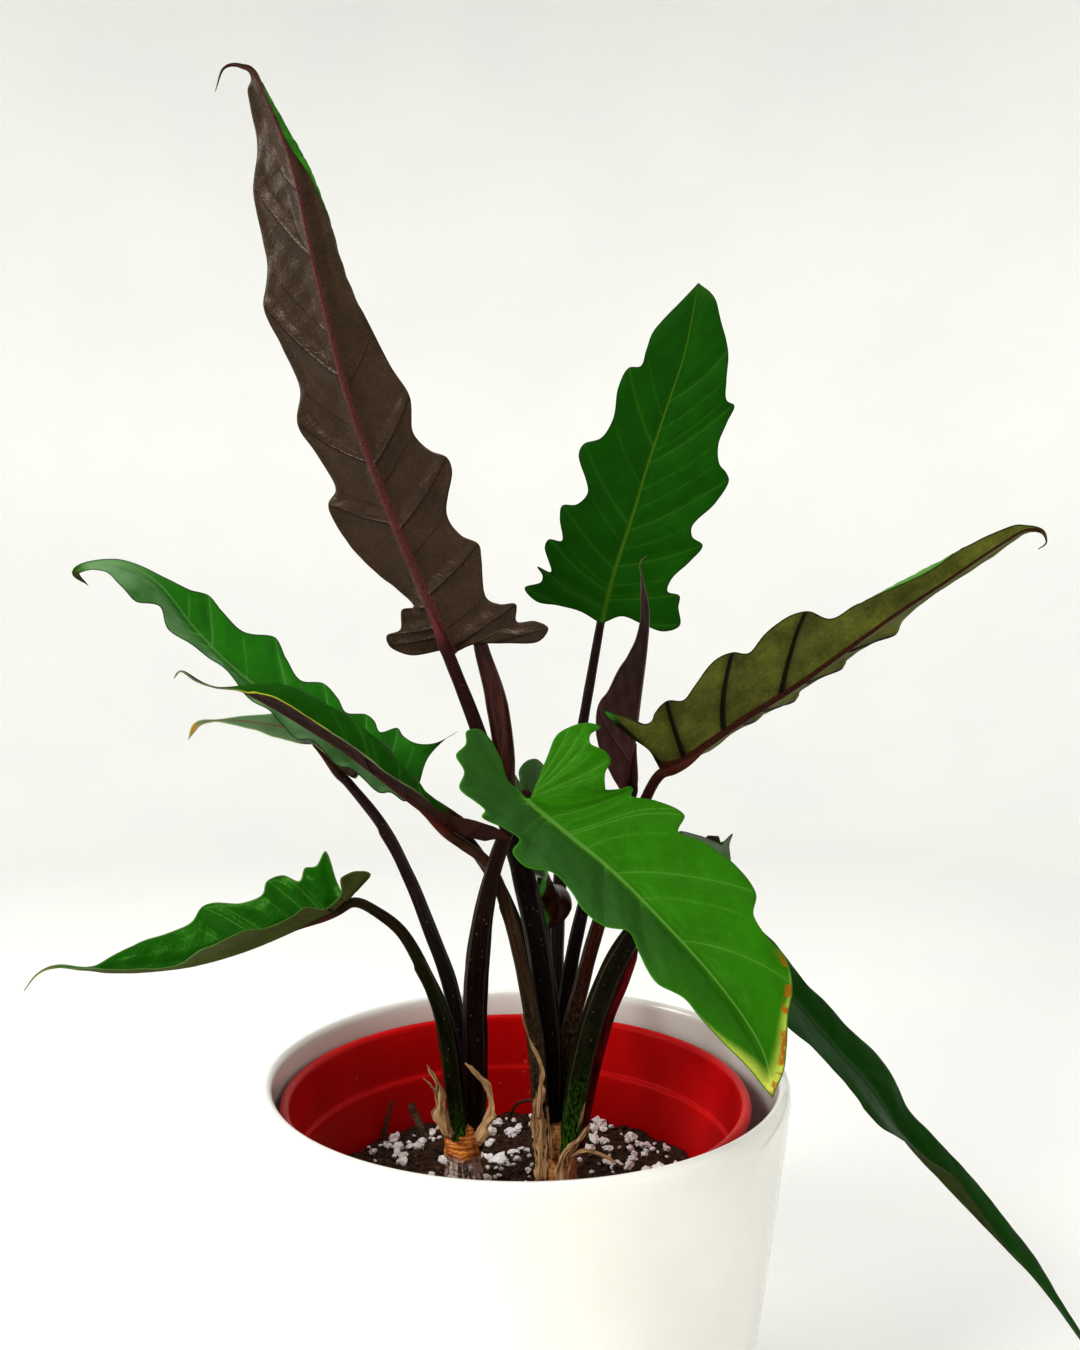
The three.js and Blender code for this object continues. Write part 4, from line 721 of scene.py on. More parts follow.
# Looks of the leaves. top: upper side. under: underside. Each has a second tone, a rib and a vein.
# gloss: roughness, and matt what the underside adds to it. glow: light let through. gleam: strength
# of the reflection. bold, veins: width and strength of the veins. patchy: share of the second tone.
# margin: width of the edge line. base_reach, tip_from: where the base and the tip change colour. sheen:
# strength of a pale painted highlight on the upper side. shaded_half: colour of painted shade on one half of
# the upper side.
PLAIN_LOOK = dict(
    top="2a6a18", top2="1a480d", top_rib="4f7a30", top_vein="3f7428",
    under="45382a", under2="30251a", under_rib="4a2a22", under_vein="20140e",
    edge="3a4a1c", tip="4a5a20", shine="6fae4a",
    base=None, burnt=None, lobe=None, pale=None, shaded_half=None,
    gloss=0.36, glow=0.1, gleam=0.2, matt=0.35, bold=1.0, veins=0.65, patchy=0.5, margin=0.7, one_edge=False,
    base_reach=0.12, tip_from=0.94, scars=0.0, sheen=0.0,
)
LOOKS = {
    "tall": dict(
        shine="b8a890", top="35861a", top2="1d4a10", under="3e2d20", under2="2d2118", under_rib="5e2e2e",
        under_vein="1c100b", edge="2b1a12", tip="4b3a20",
        gloss=0.26, glow=0.05, scars=0.14, gleam=0.5, matt=0.0, patchy=0.8),
    "upright": dict(
        top="1b5608", top2="154507", top_rib="4a6c18", top_vein="386c1c", edge="1c260e", tip="2e5a14",
        gloss=0.4, glow=0.12, gleam=0.18),
    "left_upper": dict(
        top="2f7a1c", top2="1f5f10", top_rib="5c8446", top_vein="4f8a3c", edge="2a3216", tip="3c3020",
        gloss=0.3, glow=0.08, sheen=0.6, gleam=0.35, tip_from=0.925, bold=1.4, veins=0.8),
    "left_middle": dict(
        base="38180f", shine="8a9a60", top="225e0a", top2="184a07", under="38201a", under2="261310",
        under_rib="52241e", under_vein="1a0c0a", edge="b4b43a", tip="4c2e20", pale="7f8a62",
        glow=0.02, margin=1.5, gleam=0.1, tip_from=0.8, one_edge=True, matt=0.4),
    "left_back": dict(
        top="6c8a62", top2="557246", top_rib="7a4a44", top_vein="8ba07a", edge="8fa070", tip="a0702c",
        gloss=0.4, tip_from=0.88),
    "left_lower": dict(
        top="1e6008", top2="144805", under="50562a", under2="40451f", edge="5f7a3c", tip="6a5230",
        gloss=0.26, glow=0.06, gleam=0.4, tip_from=0.86, matt=0.5),
    "front": dict(
        shaded_half="35582a", top="357a0d", top2="2c6409", top_rib="64903f", top_vein="54892f",
        under="4a5228", edge="3c7c1a", tip="dfe468", burnt="a85a14", gloss=0.32, glow=0.12, gleam=0.24),
    "right": dict(
        shine="9a9a5a", top="67944a", top2="507f38", under="6e7230", under2="3a3c18", under_rib="48241a",
        under_vein="0c0804", edge="1c1a0c", tip="8a9030", lobe="3f7a2c",
        gloss=0.33, glow=0.05, bold=2.4, gleam=0.16, matt=0.2, patchy=0.7),
    "young": dict(
        base="52190c", shine="b08a78", top="2c1a18", top2="1c100e", under="40221a", under2="200f0b",
        under_rib="4a2c26", under_vein="160c0a", edge="5c4a3e", tip="3a261e",
        gloss=0.34, glow=0.02, gleam=0.12, base_reach=0.6, matt=0.0),
    # On trailing the base colour is painted light: the hind lobes are painted a paler grey-green, as if lit
    # through from behind.
    "trailing": dict(
        top="164808", top2="0f3405", top_rib="244a14", top_vein="1a460e", under="3c461c", under2="283412",
        edge="24340f", tip="1a3008", base="5c6e52", glow=0.06, base_reach=0.05),
    "inner": dict(
        shine="c08a70", top="587a4c", top2="42603a", under="4a160a", under2="260a06", under_rib="3a1a12",
        under_vein="120604", edge="35a52a", tip="2c1a10",
        gloss=0.22, glow=0.03, margin=5.5, gleam=0.25, matt=0.0, one_edge=True),
}


def look_of(name):
    return SimpleNamespace(**{**PLAIN_LOOK, **LOOKS[name]})


def leaf_material(name):
    """Green above and darker below, with ribs, a fine net between them and a margin line."""
    look = look_of(name)
    p = Paint("leaf_" + name)
    flat = p.place("flat")
    names = ("skin", "rim", "vein", "mid", "along", "across")
    skin, rim, vein, mid, along, across = (p.field(key) for key in names)
    broad = p.noise(flat, 0.05, 4.0, 0.6)
    fine = p.noise(flat, 0.5, 5.0, 0.65)
    drift = p.node("ShaderNodeTexNoise", "Color", {"Vector": flat, "Scale": 0.4})
    threads = p.step(p.cells(p.mix(0.12, flat, drift), 0.42, "DISTANCE_TO_EDGE"), 0.09, 0.0)
    combs = p.noise(p.stretch(flat, (0.12, 0.9, 1)), 1.1, 2.0)
    vein_line = lambda outer, inner: p.step(vein, outer * look.bold, inner * look.bold)

    tone = 0.55 - look.patchy / 2 + p.step(broad + fine * 0.25, 0.42, 0.85) * look.patchy
    top = p.mix(tone, look.top2, look.top)
    top = p.mix(p.step(vein, 4.0, 0.6) * 0.12, top, look.top_vein)
    top = p.mix(threads * 0.06, top, look.top_vein)
    top = p.mix(vein_line(0.6, 0.2) * look.veins, top, look.top_vein)
    top = p.mix(p.step(mid, 0.65, 0.35) * 0.85, top, look.top_rib)

    under = p.mix(tone, look.under2, look.under)
    under = p.mix(threads * 0.25, under, look.under_vein)
    under = p.mix(p.step(combs, 0.45, 0.8) * 0.15, under, look.under2)
    under = p.mix(vein_line(2.6, 0.5) * 0.3, under, look.under_vein)
    under = p.mix(vein_line(0.8, 0.4) * 0.95, under, look.under_vein)
    blotch = p.step(p.noise(p.stretch(flat, (1.4, 2.4, 1)), 1.0), 0.45, 0.62)
    rib = p.mix(blotch, look.under_rib, look.under_vein)
    under = p.mix(p.step(mid, 1.05, 0.8), under, rib)

    if look.burnt:
        yellow_tip = p.step(along + fine * 0.05, 0.95, 1.01)
        reach = 1.2 + p.step(along, 0.72, 1.0) * 7.0
        near_rim = p.step((rim + fine * 1.5) / reach, 1.15, 0.1) * (p.step(along, 0.56, 0.95) * 0.75)
        top = p.mix(p.most(yellow_tip, near_rim) * 0.95, top, look.tip)
        brown = p.step(rim, 3.8, 1.6) * p.step(p.noise(flat, 0.16), 0.44, 0.52)
        brown = brown * (p.step(along, 0.7, 0.8) * p.step(across, 1.0, -1.0))
        brown = p.most(brown, p.step(along, 0.975, 0.995))
        top = p.mix(brown * 0.9, top, look.burnt)
    else:
        dry_tip = p.step(along, look.tip_from, look.tip_from + 0.05)
        top = p.mix(dry_tip, top, look.tip)
        under = p.mix(dry_tip, under, look.tip)
    if look.scars:
        marks = p.step(p.noise(p.stretch(flat, (0.25, 1.6, 1)), 0.5, 2.0, 0.5, 1.5), 0.71, 0.76)
        under = p.mix(marks * look.scars, under, "b0a596")
    if look.shaded_half:
        # Painted shade: the right half (x > 0) of the upper side, from the base and fading out toward the
        # tip, darkened toward the shaded_half colour as if in shadow.
        painted_shade = p.step(across, 0.3, 5.0) * p.step(along, 0.85, 0.4)
        top = p.mix(painted_shade * 0.75, top, look.shaded_half)
    # Base colour at the stalk end of the blade: a real red-brown on left_middle and young, and on trailing a
    # painted back-lit sheen over the hind lobes.
    if look.base:
        root = p.step(along, look.base_reach, look.base_reach * 0.4)
        top = p.mix(root, top, look.base)
        under = p.mix(root * 0.5, under, look.base)
    if look.lobe:
        under = p.mix(p.step(along, -0.02, -0.036) * p.step(across, 36.0, 44.0), under, look.lobe)
    if look.sheen:
        # Painted highlight: a pale grey-green sheen painted on the left half of the upper side in broad
        # patches, and on the part toward the tip up to 0.95 of the length.
        pale = p.step(across, -0.5, -4.0) * p.step(broad, 0.2, 0.7)
        pale = p.most(pale, p.step(along, 0.72, 0.92)) * p.step(along, 0.95, 0.92)
        top = p.mix(pale * look.sheen, top, "86a07c")
    base = p.mix(skin, under, top)
    edge_line = p.step(rim, look.margin, look.margin * 0.5) * 0.85
    if look.one_edge:
        edge_line = edge_line * (p.step(across, 1.0, -1.0) * p.step(along, 0.1, 0.4))
    edge = look.edge
    if look.pale:
        edge = p.mix(p.step(along, 0.48, 0.6) * p.step(along, 0.84, 0.76), look.pale, look.edge)
    base = p.mix(edge_line, base, edge)

    rough = look.gloss - 0.06 + fine * 0.14 + (1.0 - skin) * look.matt
    normal = p.bump(fine * 0.4 - threads * 0.5, 0.07)
    lit = p.mix(0.5, base, look.top)
    return p.surface(base, rough, normal, (look.glow * 0.6, lit), IOR=1.45,
                     Specular_IOR_Level=look.gleam, Specular_Tint=look.shine)


def stalk_material(name, dark, light, base_green=None, low_green=0.0, top=None, specks=0.4):
    """A smooth stalk with lengthwise streaks, pale specks and paler sheath edges."""
    p = Paint("stalk_" + name)
    flat = p.place("flat")
    along = p.field("along")
    streak = p.noise(p.stretch(flat, (0.05, 0.9, 1)), 1.0, 4.0, 0.6)
    cloud = p.noise(flat, 0.12, 3.0)
    base = p.mix(p.step(streak + cloud * 0.5, 0.55, 1.0), dark, light)
    if base_green:
        low = p.step(along + cloud * (low_green * 0.6), low_green, 0.0)
        mottle = p.mix(p.step(p.noise(p.stretch(flat, (0.5, 1.2, 1)), 0.8), 0.4, 0.6), base_green, dark)
        base = p.mix(low, base, mottle)
    if top:
        base = p.mix(p.step(along, 0.45, 1.05) * 0.25, base, top)
        base = p.mix(p.step(along, 0.99, 1.04), base, top)
    dots = p.step(p.cells(p.stretch(flat, (0.55, 1, 1)), 0.62), 0.2, 0.1)
    base = p.mix(dots * p.step(p.noise(flat, 0.3), 0.48, 0.62) * specks, base, "a08c74")
    base = p.mix(p.step(p.field("wing"), 0.6, 1.0) * 0.4, base, "6a5c44")
    return p.surface(base, 0.3 + streak * 0.18, p.bump(streak + dots * 0.4, 0.15), IOR=1.45,
                     Specular_IOR_Level=0.16, Specular_Tint="a08c70")


def tube(path, girth, sides=36, step=1.4, wing=0.0, own_length=None, rough=0.0):
    """Points, faces and fields of a stem along a curve, with two raised sheath edges up to `wing`.
    Past its own length it tapers, under the blade."""
    line = Curve(path)
    own = own_length or line.length
    rings = max(8, int(line.length / (step * 1)))
    s = np.linspace(0, line.length, rings)
    p, t = line.at(s)
    f = np.clip(s / own, 0, 1)
    wide_half, deep_half = read(girth, f)
    wide = unit(np.cross(t, [0.0, 1.0, 0.0]))
    deep = np.cross(wide, t)
    angle = full_turn(sides)
    crest = np.zeros((rings, sides))
    if wing:
        tall = smooth(f / 0.12) * smooth((wing - f) / 0.035 + 0.5)
        tall = tall * (1 + 0.9 * smooth((f - wing + 0.1) / 0.1))
        for centre in (-0.28, -0.72):
            off = np.abs((angle / math.pi - centre + 1) % 2 - 1)
            crest += tall[:, None] * smooth(1 - off / 0.085)[None]
    lumps = rough * np.sin(s[:, None] * 0.21 + 1.7 * angle[None]) * np.cos(s[:, None] * 0.07)
    taper = 1 - 0.75 * smooth((s - own) / max(line.length - own, 1e-6))
    grow = (1 + lumps) * taper[:, None]
    radial_wide = np.cos(angle)[None] * (wide_half[:, None] * grow + WING_HIGH * crest)
    radial_deep = np.sin(angle)[None] * (deep_half[:, None] * grow + WING_HIGH * crest)
    ring = p[:, None] + wide[:, None] * radial_wide[..., None] + deep[:, None] * radial_deep[..., None]
    verts = np.vstack([ring.reshape(-1, 3), p[:1], p[-1:] + t[-1:] * 0.4])
    faces = ring_faces(rings, sides).tolist()
    ends = rings * sides
    last = ends - sides
    for k in range(sides):
        faces.append([ends, (k + 1) % sides, k])
        faces.append([ends + 1, last + k, last + (k + 1) % sides])
    turn = np.broadcast_to(angle[None] * wide_half.mean(), (rings, sides))
    place = np.stack([np.repeat(s, sides), turn.ravel(), np.zeros(rings * sides)], 1)
    pad = lambda v, a, b: np.concatenate([v, [a, b]])
    fields = [
        ("along", pad(np.repeat(s / own, sides), 0, line.length / own)),
        ("wing", pad(np.clip(crest, 0, 1).ravel(), 0, 0)),
        ("flat", np.vstack([place, place[:1], place[-1:]])),
    ]
    return verts, faces, fields


def joined(parts):
    """Several (points, faces, fields) as one."""
    verts, faces, fields, start = [], [], {}, 0
    for points, polygons, more in parts:
        verts.append(np.asarray(points, float))
        faces += [[i + start for i in face] for face in polygons]
        for key, values in more:
            fields.setdefault(key, []).append(np.asarray(values, float))
        start += len(points)
    return np.vstack(verts), faces, [(key, np.concatenate(values)) for key, values in fields.items()]


def lathe(profile, sides, centre=(0, 0), rough=None):
    """A body turned round a vertical axis through smooth runs of (radius, height) points.
    A run ends at each sharp corner."""
    rows = []
    for run in profile:
        line = through([(r, z, 0) for r, z in run], 1.5)[:, :2] if len(run) > 2 else np.array(run, float)
        rows.append(line if not rows else line[1:])
    rows = np.vstack(rows)
    angle = full_turn(sides)
    r, z = np.repeat(rows[:, :1], sides, 1), np.repeat(rows[:, 1:2], sides, 1)
    if rough is not None:
        r = r + rough(angle[None], z) * (r > 0.5)
    verts = np.stack([centre[0] + r * np.cos(angle), centre[1] + r * np.sin(angle), z], 2).reshape(-1, 3)
    return verts, ring_faces(len(rows), sides).tolist()


def ribbon(path, widths, seed):
    """A thin dry strip along a curve, curled across, with a torn edge."""
    rng = np.random.default_rng(seed)
    line = Curve(path)
    rings, cols = max(10, int(line.length / 1.0)), 15
    s = np.linspace(0, line.length, rings)
    p, t = line.at(s)
    half = read(widths, s / line.length)[0]
    twist = np.cumsum(rng.normal(0, 0.09, rings)) + rng.uniform(-0.4, 0.4)
    wide = unit(np.cross(t, [0.0, 1.0, 0.0]))
    deep = np.cross(wide, t)
    side = wide * np.cos(twist)[:, None] + deep * np.sin(twist)[:, None]
    out = np.cross(side, t)
    u = np.linspace(-1, 1, cols)
    tear = 1 + PAPER_TEAR * rng.uniform(-0.8, 0.5, (rings, 2))
    for _ in range(2):
        tear = (tear + np.roll(tear, 1, 0) + np.roll(tear, -1, 0)) / 3
    span = np.where(u[None] < 0, tear[:, :1], tear[:, 1:]) * half[:, None]
    bend = u[None] * (1 + 0.3 * np.sin(s * 0.5)[:, None])
    crinkle = 0.38 * np.sin(s[:, None] * 0.25 + u[None] * 7 + seed)
    crinkle = crinkle + 0.2 * np.sin(s[:, None] * 0.7 - u[None] * 13)
    sideways = np.sin(bend) * span
    outward = (1 - np.cos(bend)) * span + crinkle
    verts = [(p[:, None] + side[:, None] * sideways[..., None]
              + out[:, None] * (outward + k * PAPER_THICK / 2)[..., None]).reshape(-1, 3) for k in (1, -1)]
    faces = []
    total = rings * cols
    for i in range(rings - 1):
        for j in range(cols - 1):
            q = [i * cols + j, i * cols + j + 1, (i + 1) * cols + j + 1, (i + 1) * cols + j]
            faces += [q, [v + total for v in reversed(q)]]
    grid = np.arange(total).reshape(rings, cols)
    loop = [*grid[0], *grid[1:, -1], *grid[-1, -2::-1], *grid[-2:0:-1, 0]]
    faces += [[b, a, a + total, b + total] for a, b in zip(loop, loop[1:] + loop[:1])]
    place = np.stack([np.repeat(s, cols), np.tile(u * 3, rings), np.zeros(total)], 1)
    along = np.tile(np.repeat(s / line.length, cols), 2)
    return np.concatenate(verts), faces, [("flat", np.vstack([place, place])), ("along", along)]


def halved(ball, shell):
    """Each triangle of a ball cut into four."""
    points = [tuple(v) for v in ball]
    cuts = {}

    def middle(a, b):
        key = (min(a, b), max(a, b))
        if key not in cuts:
            cuts[key] = len(points)
            points.append(tuple(unit(np.array(points[a]) + np.array(points[b]))))
        return cuts[key]

    faces = []
    for a, b, c in shell:
        ab, bc, ca = middle(a, b), middle(b, c), middle(c, a)
        faces += [(a, ab, ca), (ab, b, bc), (ca, bc, c), (ab, bc, ca)]
    return np.array(points), faces


def grains(count, where, size, seed):
    """Many rough little lumps. where(rng) gives a middle, size(rng) a radius."""
    rng = np.random.default_rng(seed)
    g = (1 + 5 ** 0.5) / 2
    ball = unit(np.array([(-1, g, 0), (1, g, 0), (-1, -g, 0), (1, -g, 0), (0, -1, g), (0, 1, g),
                          (0, -1, -g), (0, 1, -g), (g, 0, -1), (g, 0, 1), (-g, 0, -1), (-g, 0, 1)]))
    shell = [(0, 11, 5), (0, 5, 1), (0, 1, 7), (0, 7, 10), (0, 10, 11), (1, 5, 9), (5, 11, 4), (11, 10, 2),
             (10, 7, 6), (7, 1, 8), (3, 9, 4), (3, 4, 2), (3, 2, 6), (3, 6, 8), (3, 8, 9), (4, 9, 5),
             (2, 4, 11), (6, 2, 10), (8, 6, 7), (9, 8, 1)]
    ball, shell = halved(ball, shell)
    parts = []
    for _ in range(count):
        middle, radius = where(rng), size(rng)
        turn = np.linalg.qr(rng.normal(size=(3, 3)))[0]
        swell = 1 + 0.34 * rng.uniform(-1, 1, (len(ball), 1))
        lump = ball * swell * rng.uniform(0.55, 1.2, 3)
        lump = lump @ turn.T * radius * (1, 1, GRAIN_SQUASH)
        parts.append((lump + middle, shell, [("tone", np.full(len(lump), rng.uniform()))]))
    return joined(parts)


# Camera
camera_data = bpy.data.cameras.new("camera")
camera_data.sensor_width = CAMERA_SENSOR
camera_data.lens = CAMERA_LENS
camera_data.clip_start = 0.02
camera = bpy.data.objects.new("camera", camera_data)
camera.location = [c * MM for c in CAMERA_PLACE]
camera.rotation_euler = (CAMERA_TILT, 0, 0)
bpy.context.scene.collection.objects.link(camera)
bpy.context.scene.camera = camera
bpy.context.scene.view_settings.view_transform = "Standard"
bpy.context.scene.view_settings.gamma = 0.84

# Pots, as smooth runs of (radius, height) between sharp corners
WHITE_POT = [
    [(0.01, 0), (90, 0)],
    [(90, 0), (92.6, 0.25), (94.6, 1.2), (95.8, 3), (96.4, 6)],
    [(96.4, 6), (98.5, 30), (102, 56), (105.2, 85.8)],
    [(105.2, 85.8), (105.5, 86.8), (105.3, 87.8), (104.8, 88.4)],
    [(104.8, 88.4), (105.1, 89.1), (106.2, 89.8), (106.8, 91)],
    [(106.8, 91), (111.5, 125), (115, 151), (118, 175), (119.6, 190), (119.9, 195), (119.3, 198.2),
     (117.8, 199.8), (116.2, 199.9), (114.8, 198.8), (114.1, 195.6), (112.6, 175), (109.5, 151),
     (102, 97), (96, 40), (91.5, 15), (89.5, 10.6), (86, 9)],
    [(86, 9), (0.01, 9)],
]
RED_POT = [
    [(0.01, 9.35), (78, 9.35)],
    [(78, 9.35), (80, 10.4), (80.8, 14)],
    [(80.8, 14), (97.3, 138), (99.9, 159.5)],
    [(99.9, 159.5), (100.4, 161.4), (102, 162.4), (102.7, 164.2)],
    [(102.7, 164.2), (104.6, 183.6)],
    [(104.6, 183.6), (105.6, 184), (106.8, 185), (107.2, 187), (106.6, 189), (105.4, 189.7),
     (103.9, 189.5), (102.8, 188.4), (102.3, 186.4)],
    [(102.3, 186.4), (100.9, 165)],
    [(100.9, 165), (100.5, 163), (99, 162.4), (98.4, 160.8)],
    [(98.4, 160.8), (95.6, 138), (79, 14)],
    [(79, 14), (78.2, 12), (76.5, 11.4)],
    [(76.5, 11.4), (0.01, 11.4)],
]


def glazed_material():
    p = Paint("glazed_white")
    at = p.object_place()
    cloud = p.noise(at, 14.0, 4.0)
    base = p.mix(p.step(cloud, 0.35, 0.7), "e6e4dc", "edebe4")
    base = p.mix(p.step(p.cells(at, 260.0), 0.07, 0.03) * 0.25, base, "cfc9bd")
    normal = p.bump(p.noise(at, 40.0, 2.0) + p.noise(at, 220.0) * 0.15, 0.25)
    return p.surface(base, 0.1 + cloud * 0.12, normal, IOR=1.5, Coat_Weight=0.3, Coat_Roughness=0.08)


def plastic_material():
    p = Paint("red_plastic")
    at = p.object_place()
    base = p.mix(p.step(p.noise(at, 22.0, 4.0), 0.35, 0.7), "bc080b", "d21012")
    streak = p.noise(p.stretch(at, (60, 60, 8)), 1.0, 3.0, 0.6)
    base = p.mix(p.step(streak, 0.56, 0.75) * 0.12, base, "b5302c")
    splash = p.step(p.cells(at, 120.0), 0.16, 0.08) * p.step(p.noise(at, 18.0), 0.54, 0.62)
    base = p.mix(splash * 0.3, base, "c79a86")
    normal = p.bump(p.noise(at, 160.0) + splash * 0.6, 0.12)
    return p.surface(base, 0.26 + streak * 0.2, normal, IOR=1.48, Specular_IOR_Level=0.3,
                     Specular_Tint="e08070")


def soil_material():
    p = Paint("potting_soil")
    at = p.object_place()
    grit = p.noise(at, 420.0, 6.0, 0.7)
    base = p.mix(p.step(grit, 0.35, 0.7), "2a1b10", "5c412b")
    base = p.mix(p.step(p.cells(at, 330.0), 0.16, 0.08) * 0.6, base, "6b4d34")
    return p.surface(base, 0.92, p.bump(grit + p.cells(at, 300.0), 1.0), Specular_IOR_Level=0.25)


def grain_material(name, dark, light, stain):
    p = Paint(name)
    at = p.object_place()
    grit = p.noise(at, 700.0, 4.0, 0.65)
    base = p.mix(p.field("tone"), dark, light)
    base = p.mix(p.step(grit, 0.5, 0.72) * 0.35, base, stain)
    return p.surface(base, 0.85, p.bump(grit + p.cells(at, 900.0), 0.35), Specular_IOR_Level=0.3)


def base_material(name, ring, ring2, pale, low_from=0.151, rough=0.7, bands=0.35):
    """Fibrous skin in rings, paler and greyer below a height in metres."""
    p = Paint(name)
    at = p.object_place()
    wave = p.node("ShaderNodeTexWave", "Fac", {"Vector": at, "Scale": 150.0, "Distortion": 6.0,
                                               "Detail": 3.0, "Detail Scale": 1.5}, bands_direction="Z")
    fibre = p.noise(p.stretch(at, (160, 160, 620)), 1.0, 5.0, 0.65)
    threads = p.noise(p.stretch(at, (620, 620, 60)), 1.0, 4.0, 0.6)
    base = p.mix(p.step(fibre + p.noise(at, 120.0, 3.0) * 0.8, 0.7, 1.05), ring2, ring)
    base = p.mix(p.step(wave, 0.3, 0.05) * bands, base, ring2)
    height = p.node("ShaderNodeSeparateXYZ", 2, {"Vector": at})
    low = p.step(height + threads * 0.006, low_from + 0.003, low_from - 0.001)
    base = p.mix(low * 0.85, base, pale)
    base = p.mix(low * p.step(threads, 0.45, 0.6), base, "4a3a2c")
    normal = p.bump(wave * bands + p.mix(low, fibre, threads), 0.6)
    return p.surface(base, rough, normal, Specular_IOR_Level=0.4)


def paper_material():
    p = Paint("dry_sheath")
    flat = p.place("flat")
    fibre = p.noise(p.stretch(flat, (0.09, 3.4, 1)), 1.0, 5.0, 0.65)
    base = p.mix(p.step(fibre, 0.3, 0.62), "b0743c", "fbdca6")
    base = p.mix(p.step(p.noise(flat, 0.12, 3.0), 0.56, 0.72) * 0.5, base, "5a3219")
    # Painted shade: each strip is darker toward its end, which on most strips is the lower end at the base.
    base = p.mix(p.step(p.field("along"), 0.85, 1.0) * 0.3, base, "7a4820")
    return p.surface(base, 0.6, p.bump(fibre, 0.9), (0.12, base), Specular_IOR_Level=0.3)


add("white_pot", "glazed_white", ["outer_pot"], lathe(WHITE_POT, POT_SIDES), glazed_material())
add("red_pot", "red_plastic", ["inner_pot"], lathe(RED_POT, POT_SIDES, (INNER_SHIFT, 0)), plastic_material())


# Soil, its crumbs and the white grains in it
def soil_height(x, y):
    """Height of the soil's surface, a little heaped round the two bases."""
    z = SOIL_TOP + 0.4 + 1.1 * math.sin(x * 0.21 + 1) * math.cos(y * 0.17)
    z += 0.7 * math.sin(x * 0.09 - y * 0.13)
    z += 1.6 * noise.noise(Vector((x * 0.16, y * 0.16, 3))) + 0.9 * noise.noise(Vector((x * 0.5, y * 0.5, 7)))
    for cx, cy in (LEFT_BASE, RIGHT_BASE):
        z += 2.2 * math.exp(-((x - cx) ** 2 + (y - cy) ** 2) / 260)
    return z


def soil_piece():
    rings, sides = ((92, 300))
    turns = [(math.cos(a), math.sin(a)) for a in full_turn(sides).tolist()]
    verts = []
    for i in range(rings):
        r = max(0.01, SOIL_RADIUS * (i / (rings - 1)) ** 0.85)
        for cos, sin in turns:
            x, y = INNER_SHIFT + r * cos, r * sin
            fine = 0.7 * noise.noise(Vector((x * 1.4, y * 1.4, 1))) if i < rings - 1 else 0
            verts.append((x, y, soil_height(x, y) + fine))
    for r, z in ((94.2, 130), (78.6, 14), (76.4, 11.8), (0.01, 11.8)):
        verts += [(INNER_SHIFT + r * cos, r * sin, z) for cos, sin in turns]
    return verts, ring_faces(rings + 4, sides)[:, [0, 3, 2, 1]].tolist()


def on_soil(low, high, lift, heaps=0, seed=0):
    """Places on the soil, clear of the two bases, most of them in small heaps if there are any."""
    spots = np.random.default_rng(seed).uniform((low, 0), (high, 2 * math.pi), (heaps, 2))

    def where(rng):
        while True:
            r, a = SOIL_RADIUS * math.sqrt(rng.uniform(low, high)), rng.uniform(0, 2 * math.pi)
            x, y = r * math.cos(a), r * math.sin(a)
            if heaps and rng.uniform() < 0.65:
                share, turn = spots[rng.integers(heaps)]
                r = SOIL_RADIUS * math.sqrt(share)
                x, y = np.array([r * math.cos(turn), r * math.sin(turn)]) + rng.normal(0, 5.5, 2)
            if math.hypot(x, y) > SOIL_RADIUS * math.sqrt(high):
                continue
            x += INNER_SHIFT
            if all(math.hypot(x - cx, y - cy) > BASE_CLEAR for cx, cy in (LEFT_BASE, RIGHT_BASE)):
                return np.array([x, y, soil_height(x, y) + lift + rng.uniform(-0.5, 0.6)])
    return where


add("soil_bed", "potting_soil", ["soil"], soil_piece(), soil_material())
add("soil_crumbs", "potting_soil", [],
    grains(CRUMBS, on_soil(0, 0.97, 0.3), lambda r: r.uniform(0.5, 1.7), 5),
    grain_material("soil_crumb", "2e1e12", "6b4a30", "1a100a"))
add("white_grains", "potting_soil", [],
    grains(WHITE_GRAINS, on_soil(0, 0.95, 1.0, 46, 3), lambda r: 0.9 + 2.9 * r.uniform() ** 2.4, 11),
    grain_material("white_grain", "f4f2ea", "ffffff", "d8d2c4"), flat=True)


# Ringed bases
def fibrous(seed):
    return lambda a, z: (0.32 * np.sin(z * 2.6 + 0.6 * np.sin(a * 3 + seed))
                         + 0.22 * np.sin(a * 17 + z * 0.8 + seed)
                         + 0.3 * np.sin(a * 5 + seed) * np.cos(z * 0.5))


def ringed_base(name, node, middle, profile, seed, material):
    """A base turned round its middle, which stands a little toward the viewer of the stalks."""
    body = lathe([profile], BASE_SIDES, (middle[0], middle[1] + BASE_SHIFT), fibrous(seed))
    add(name, "leaf_base", [node], body, material)


ringed_base("left_base", "corm_left", LEFT_BASE,
     [(0.01, 127), (7, 127), (9.8, 131), (10.4, 138), (9.8, 144), (8.6, 150), (7.6, 154.5), (7.3, 156),
      (8.2, 157.6), (8.8, 160), (8.7, 163), (8.9, 165), (8.5, 168), (7.6, 171), (6.4, 173.4), (4, 174.6),
      (0.01, 175)],
     1, base_material("left_base", "f0a04a", "84401a", "c4bcb2", 0.1605, 0.3))
ringed_base("right_base", "corm_right", RIGHT_BASE,
     [(0.01, 127), (6, 127), (8.6, 132), (10, 140), (9.4, 148), (9.6, 155), (9.2, 162), (8.6, 168),
      (7.4, 171.5), (5, 173.6), (0.01, 174)],
     4, base_material("right_base", "d09a58", "6e2f18", "b08a60", 0.143, 0.45, 0.1))

